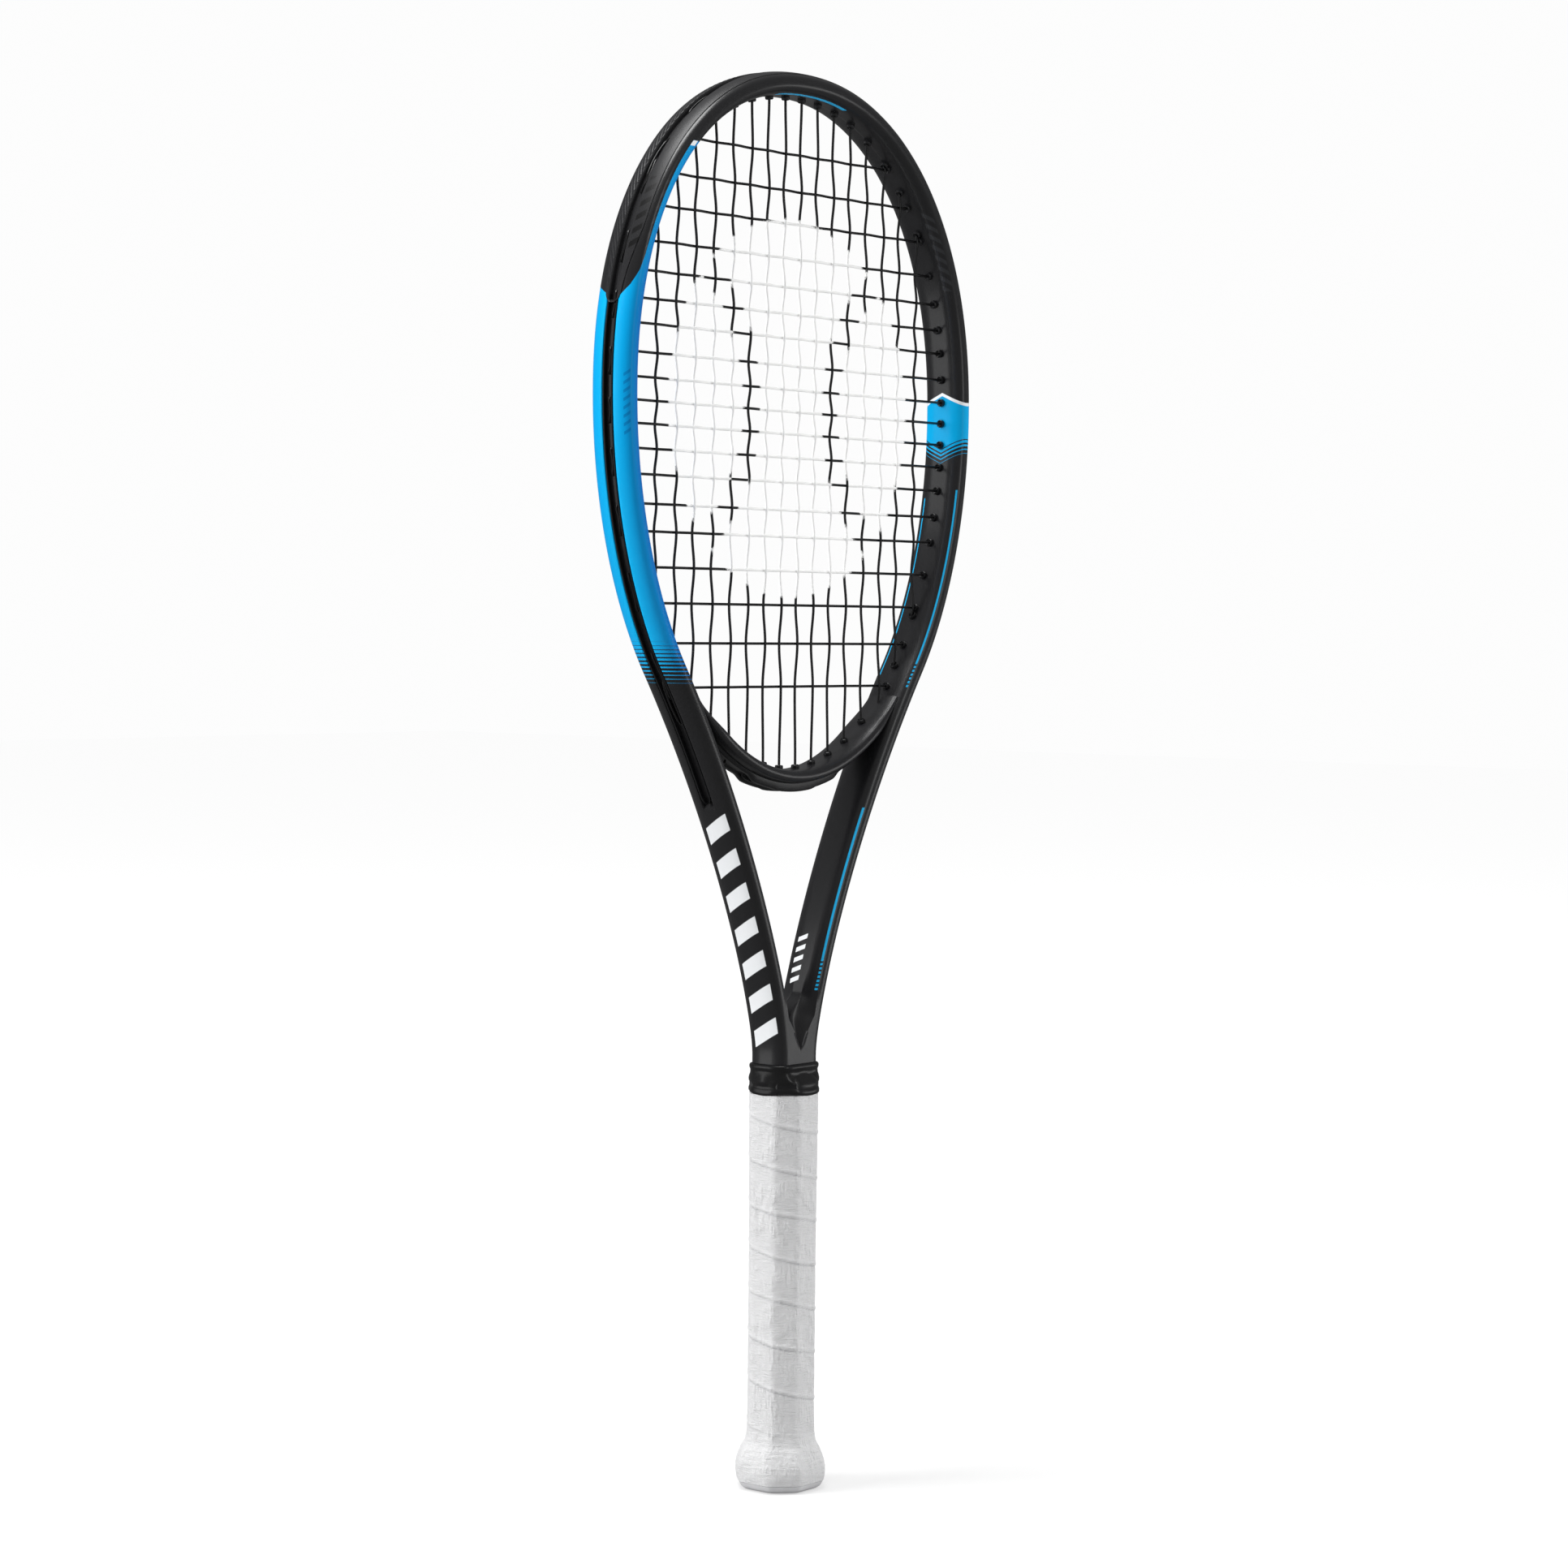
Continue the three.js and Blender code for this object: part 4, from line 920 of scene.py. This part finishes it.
def cross_run(c):
    """Start, crossings and finish of a cross. Every other one runs to the left."""
    z, right = CROSS_HEIGHTS[c], side_ends[c]
    points = [
        np.array((x, -rise(m, c), z)) for m, x in enumerate(main_x)
        if abs(x) < right.tip[0] - CLEAR and crosses_main(m, z)]
    left = right.mirrored()
    return (left, points, right) if c % 2 == 0 else (right, points[::-1], left)


main_runs = [main_run(m) for m in range(len(main_x))]
cross_runs = [cross_run(c) for c in range(len(CROSS_HEIGHTS))]
for name, replaced, runs, loop_y in (
        ("strings_mains", "main_strings", main_runs, 1.1),
        ("strings_crosses", "cross_strings", cross_runs, -1.1)):
    stand_for(add_mesh(name, *string_run(runs, loop_y), STRING.material, sharp=80), replaced)


# ---------------------------------------------------------------- handle

def octagon_radius(turn, size, power=26):
    """Distance from the middle to an octagon with soft corners, at each angle."""
    half_x, half_y, slanted = size
    total = 0
    for k, distance in enumerate((half_x, slanted, half_y, slanted) * 2):
        facing = np.cos(turn - k * math.pi / 4) / distance
        total = total + np.maximum(facing, 0) ** power
    return total ** (-1 / power)


def rounds(levels, turn, radius):
    """Rings of vertices. levels and radius have one row per ring."""
    return np.stack(np.broadcast_arrays(np.cos(turn) * radius, np.sin(turn) * radius, levels), 2)


GRIP_TURN = np.linspace(-math.pi, math.pi, 180, endpoint=False)
SEAM_PITCH, SEAM_SHARE = 21.6, 0.985  # pitch of the spiral overlap, and where its seam is within it


def peak(share, at, width):
    """1 at one place in the pitch of the overlap, falling off to 0 on both sides of it."""
    return np.exp(-((share - at) / width) ** 2)


def overlap_share(z):
    """How far each point is along the pitch of the overlap, from 0 to 1, with a slight waver."""
    along = z / SEAM_PITCH
    waver = 0.02 * np.sin(2 * GRIP_TURN + 2.3 * along) + 0.02 * np.sin(1.1 * along)
    first_seam = 3
    return (along + (first_seam / SEAM_PITCH) + GRIP_TURN / (2 * math.pi) + waver) % 1.0


def grip_shell():
    """Wrap from the butt flare to the tape, with a spiral overlap, and where its seam lies."""
    levels = np.concatenate([np.arange(GRIP_END_Z, 192.8, 0.55), [193.2, 193.6, GRIP_TOP_Z]])
    factor = np.interp(levels, *zip(*BUTT_FLARE))
    factor = np.convolve(np.pad(factor, 3, mode="edge"), np.ones(7) / 7, "valid")
    factor = np.where(levels > TUCKED_Z, factor * TUCKED, factor)
    z = column(levels)
    share = overlap_share(z)
    ridge, valley, swell = peak(share, 0.05, 0.04), peak(share, SEAM_SHARE, 0.018), np.sin(math.pi * share)
    relief = 0.4 * ridge - 0.3 * valley + 0.12 * swell
    on_grip = smooth(z, 26, 34) * (1 - smooth(z, 190.5, 192.5))
    waves = np.sin(2 * math.pi * (z + 1.1 * np.sin(GRIP_TURN + 1.0) + 0.5 * np.sin(3 * GRIP_TURN)) / 2.6)
    lines = 0.07 * waves * smooth(z, 6, 9) * (1 - smooth(z, 26, 33))
    step = 0.5 * (1 - smooth(z, 20.4, 22.2)) * smooth(z, 10, 19)
    radius = octagon_radius(GRIP_TURN, GRIP) * column(factor) + relief * on_grip + lines + step
    return rounds(z, GRIP_TURN, radius), peak(share, SEAM_SHARE, 0.016) * on_grip


grip_rings, grip_seam = grip_shell()
add_rings("wrapped_grip", grip_rings, WRAP, "grip_tape", attributes={"seam": grip_seam.reshape(-1)})


def cap_shell():
    """Lip of the butt cap with a recess for the end plate."""
    profile = [  # height, and size as a share of GRIP
        (1.3, 0.735), (0.15, 0.74), (0.0, 0.755), (0.0, 1.0), (0.25, 1.08), (0.9, 1.15), (1.8, 1.2),
        (3.75, 1.255), (4.4, 1.08),
    ]
    z, share = (column(values) for values in zip(*profile))
    return rounds(z, GRIP_TURN, octagon_radius(GRIP_TURN, GRIP) * share)


add_rings("butt_cap_lip", cap_shell(), CAP, "butt_cap")


def collar_shell():
    """Moulded rubber collar: a flange, a waisted neck, and a skirt with a scalloped lower edge."""
    turn = np.linspace(-math.pi, math.pi, 192, endpoint=False)
    skirt, hollow = np.array(GRIP) + 0.55, np.array(GRIP) - 0.2
    bore, neck, flange = np.array([[15.6, 11.5, 16.35], [16.05, 12.1, 16.8], [16.25, 12.4, 16.9]])
    levels = [  # height, octagon, added to its radius, depth of the scallops, how far the level droops
        (193.6, skirt - 1.2, 0, 0, 0), (193.5, skirt - 0.45, 0, 0, 1), (193.9, skirt, 0, 0, 1),
        (195.2, skirt + 0.05, 0, 0, 0.9), (196.4, skirt - 0.3, 0, 0, 0.7), (197.0, skirt - 0.75, 0, 0, 0.6),
        (197.8, skirt - 0.7, 0, 0, 0.5), (199.2, mix(skirt, neck, 0.3), 0, 0.25, 0.4),
        (200.6, mix(skirt, neck, 0.55), 0, 0.45, 0.3), (202.0, mix(skirt, neck, 0.85), 0, 0.4, 0.2),
        (203.2, neck, 0, 0.15, 0.1), (204.4, neck, 0, 0, 0), (205.2, neck, 0.05, 0, 0),
        (205.6, flange, 0.1, 0, 0), (206.2, flange, 0.35, 0, 0), (207.2, flange, 0.35, 0, 0),
        (207.8, flange, 0, 0, 0), (208.0, flange, -0.5, 0, 0), (208.0, bore, 0, 0, 0), (203.5, bore, 0, 0, 0),
        (199.9, hollow, 0, 0, 0), (194.0, hollow, 0, 0, 0),
    ]
    z, radius = [], []
    for height, size, added, scallop, droop in levels:
        z.append(height - 0.55 * droop * np.cos(4 * turn))
        radius.append(octagon_radius(turn, size, 18) + added + scallop * np.cos(8 * turn))
    return rounds(np.array(z), turn, np.array(radius))


add_rings("sliding_collar", collar_shell(), RUBBER, "grip_collar", looped=True, body="collar", sharp=50)


# ---------------------------------------------------------------- pieces kept from the frame

KEPT = {
    "foam_core_left": CORE, "foam_core_right": CORE, "handle_pallet": PALLET, "butt_end_plate": PLATE,
    "butt_cap_staple_front_left": STEEL, "butt_cap_staple_front_right": STEEL,
    "butt_cap_staple_rear_left": STEEL, "butt_cap_staple_rear_right": STEEL,
    "grip_start_staple": STEEL, "finishing_tape": TAPE,
}
for name, shader in KEPT.items():
    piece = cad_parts[name]
    piece.data.materials.clear()
    piece.data.materials.append(shader.material)


# ---------------------------------------------------------------- floor, light and camera

def area_light(name, place, target, size, power):
    """Light in metres and watts that faces its target."""
    data = bpy.data.lights.new(name, "AREA")
    data.shape, data.energy = "RECTANGLE", power
    data.size, data.size_y = size
    light = add_object(name, data)
    light.location = place
    light.rotation_euler = (Vector(target) - Vector(place)).to_track_quat("-Z", "Y").to_euler()
    return light


def floor_material():
    """Pale grey to light, with a glow that only the camera sees and that reaches white far away."""
    material = bpy.data.materials.new("pale_floor")
    material.use_nodes = True
    tree = material.node_tree
    place = node(tree, "ShaderNodeVectorMath", operation="LENGTH")
    tree.links.new(tree.nodes.new("ShaderNodeTexCoord").outputs["Object"], place.inputs[0])
    distance = Field(tree, place.outputs["Value"])
    seen = Field(tree, tree.nodes.new("ShaderNodeLightPath").outputs["Is Camera Ray"])
    values = {
        "Base Color": (0.55, 0.55, 0.55, 1), "Roughness": 0.9, "Emission Color": (1, 1, 1, 1),
        "Emission Strength": seen * (distance.above(1.4, 2.0) * 0.33 + 0.47),
    }
    for name, value in values.items():
        connect(tree, tree.nodes["Principled BSDF"].inputs[name], value)
    return material


def add_floor(half_side=9, drop=0.0002):
    """Square floor, in metres, a hair under the racket's end."""
    corners = [(x * half_side, y * half_side, 0) for x, y in ((-1, -1), (1, -1), (1, 1), (-1, 1))]
    mesh = bpy.data.meshes.new("floor")
    mesh.from_pydata(corners, [], [(0, 1, 2, 3)])
    mesh.materials.append(floor_material())
    floor = add_object("floor", mesh)
    floor.location.z = -drop
    floor.visible_glossy = False


def add_world(seen_light=0.98, diffuse_light=0.31, glossy_light=0.15):
    """White surround: bright to the camera, and dimmer to matt surfaces and to reflections."""
    world = bpy.data.worlds.new("studio")
    world.use_nodes = True
    tree = world.node_tree
    rays = tree.nodes.new("ShaderNodeLightPath")
    seen, reflected = (Field(tree, rays.outputs[name]) for name in ("Is Camera Ray", "Is Glossy Ray"))
    strength = seen * (seen_light - diffuse_light) + diffuse_light
    strength = strength + reflected * (glossy_light - diffuse_light)
    backdrop = tree.nodes["Background"]
    backdrop.inputs["Color"].default_value = (1, 1, 1, 1)
    connect(tree, backdrop.inputs["Strength"], strength)
    bpy.context.scene.world = world


def add_camera():
    """Camera of the photo: a long lens at 1.8 m, to the left of the front and tipped slightly down."""
    turn, pitch, roll = math.radians(51), math.radians(2.43), math.radians(0.57)
    distance, aim_z = 1812, 343.6
    forward = Vector((math.sin(turn) * math.cos(pitch), math.cos(turn) * math.cos(pitch), -math.sin(pitch)))
    right = Vector((math.cos(turn), -math.sin(turn), 0))
    up = right.cross(forward)
    across = math.cos(roll) * right + math.sin(roll) * up
    upright = -math.sin(roll) * right + math.cos(roll) * up
    data = bpy.data.cameras.new("camera")
    data.sensor_width, data.lens, data.shift_x, data.clip_end = 36, 85.658, -0.00181, 50
    camera = add_object("camera", data)
    axes = Matrix((across, upright, -forward)).transposed().to_4x4()
    camera.matrix_world = Matrix.Translation((Vector((0, 0, aim_z)) - forward * distance) * MM) @ axes
    bpy.context.scene.camera = camera


add_floor()
add_world()
left_light = area_light("key_left", (-1.9, 1.2, 1.2), (0, 0, 0.35), (1.2, 1.8), 48)
front_light = area_light("key_front", (1.9, -1.8, 0.9), (0, 0, 0.35), (1.2, 2.0), 42)
left_light.visible_glossy = front_light.visible_glossy = False
area_light("overhead", (-0.3, 0.1, 2.3), (-0.05, 0, 0.6), (1.0, 1.0), 26)
area_light("front_strip", (-0.05, -2.2, 1.15), (0, 0, 0.5), (0.5, 1.7), 6)
area_light("rear_left", (-1.9, 1.5, 0.5), (0, 0, 0.5), (0.5, 2.0), 5)
area_light("low_front", (1.5, -1.25, 0.15), (0, 0, 0.22), (0.5, 0.5), 1.4)
add_camera()
bpy.context.scene.view_settings.view_transform = "Standard"
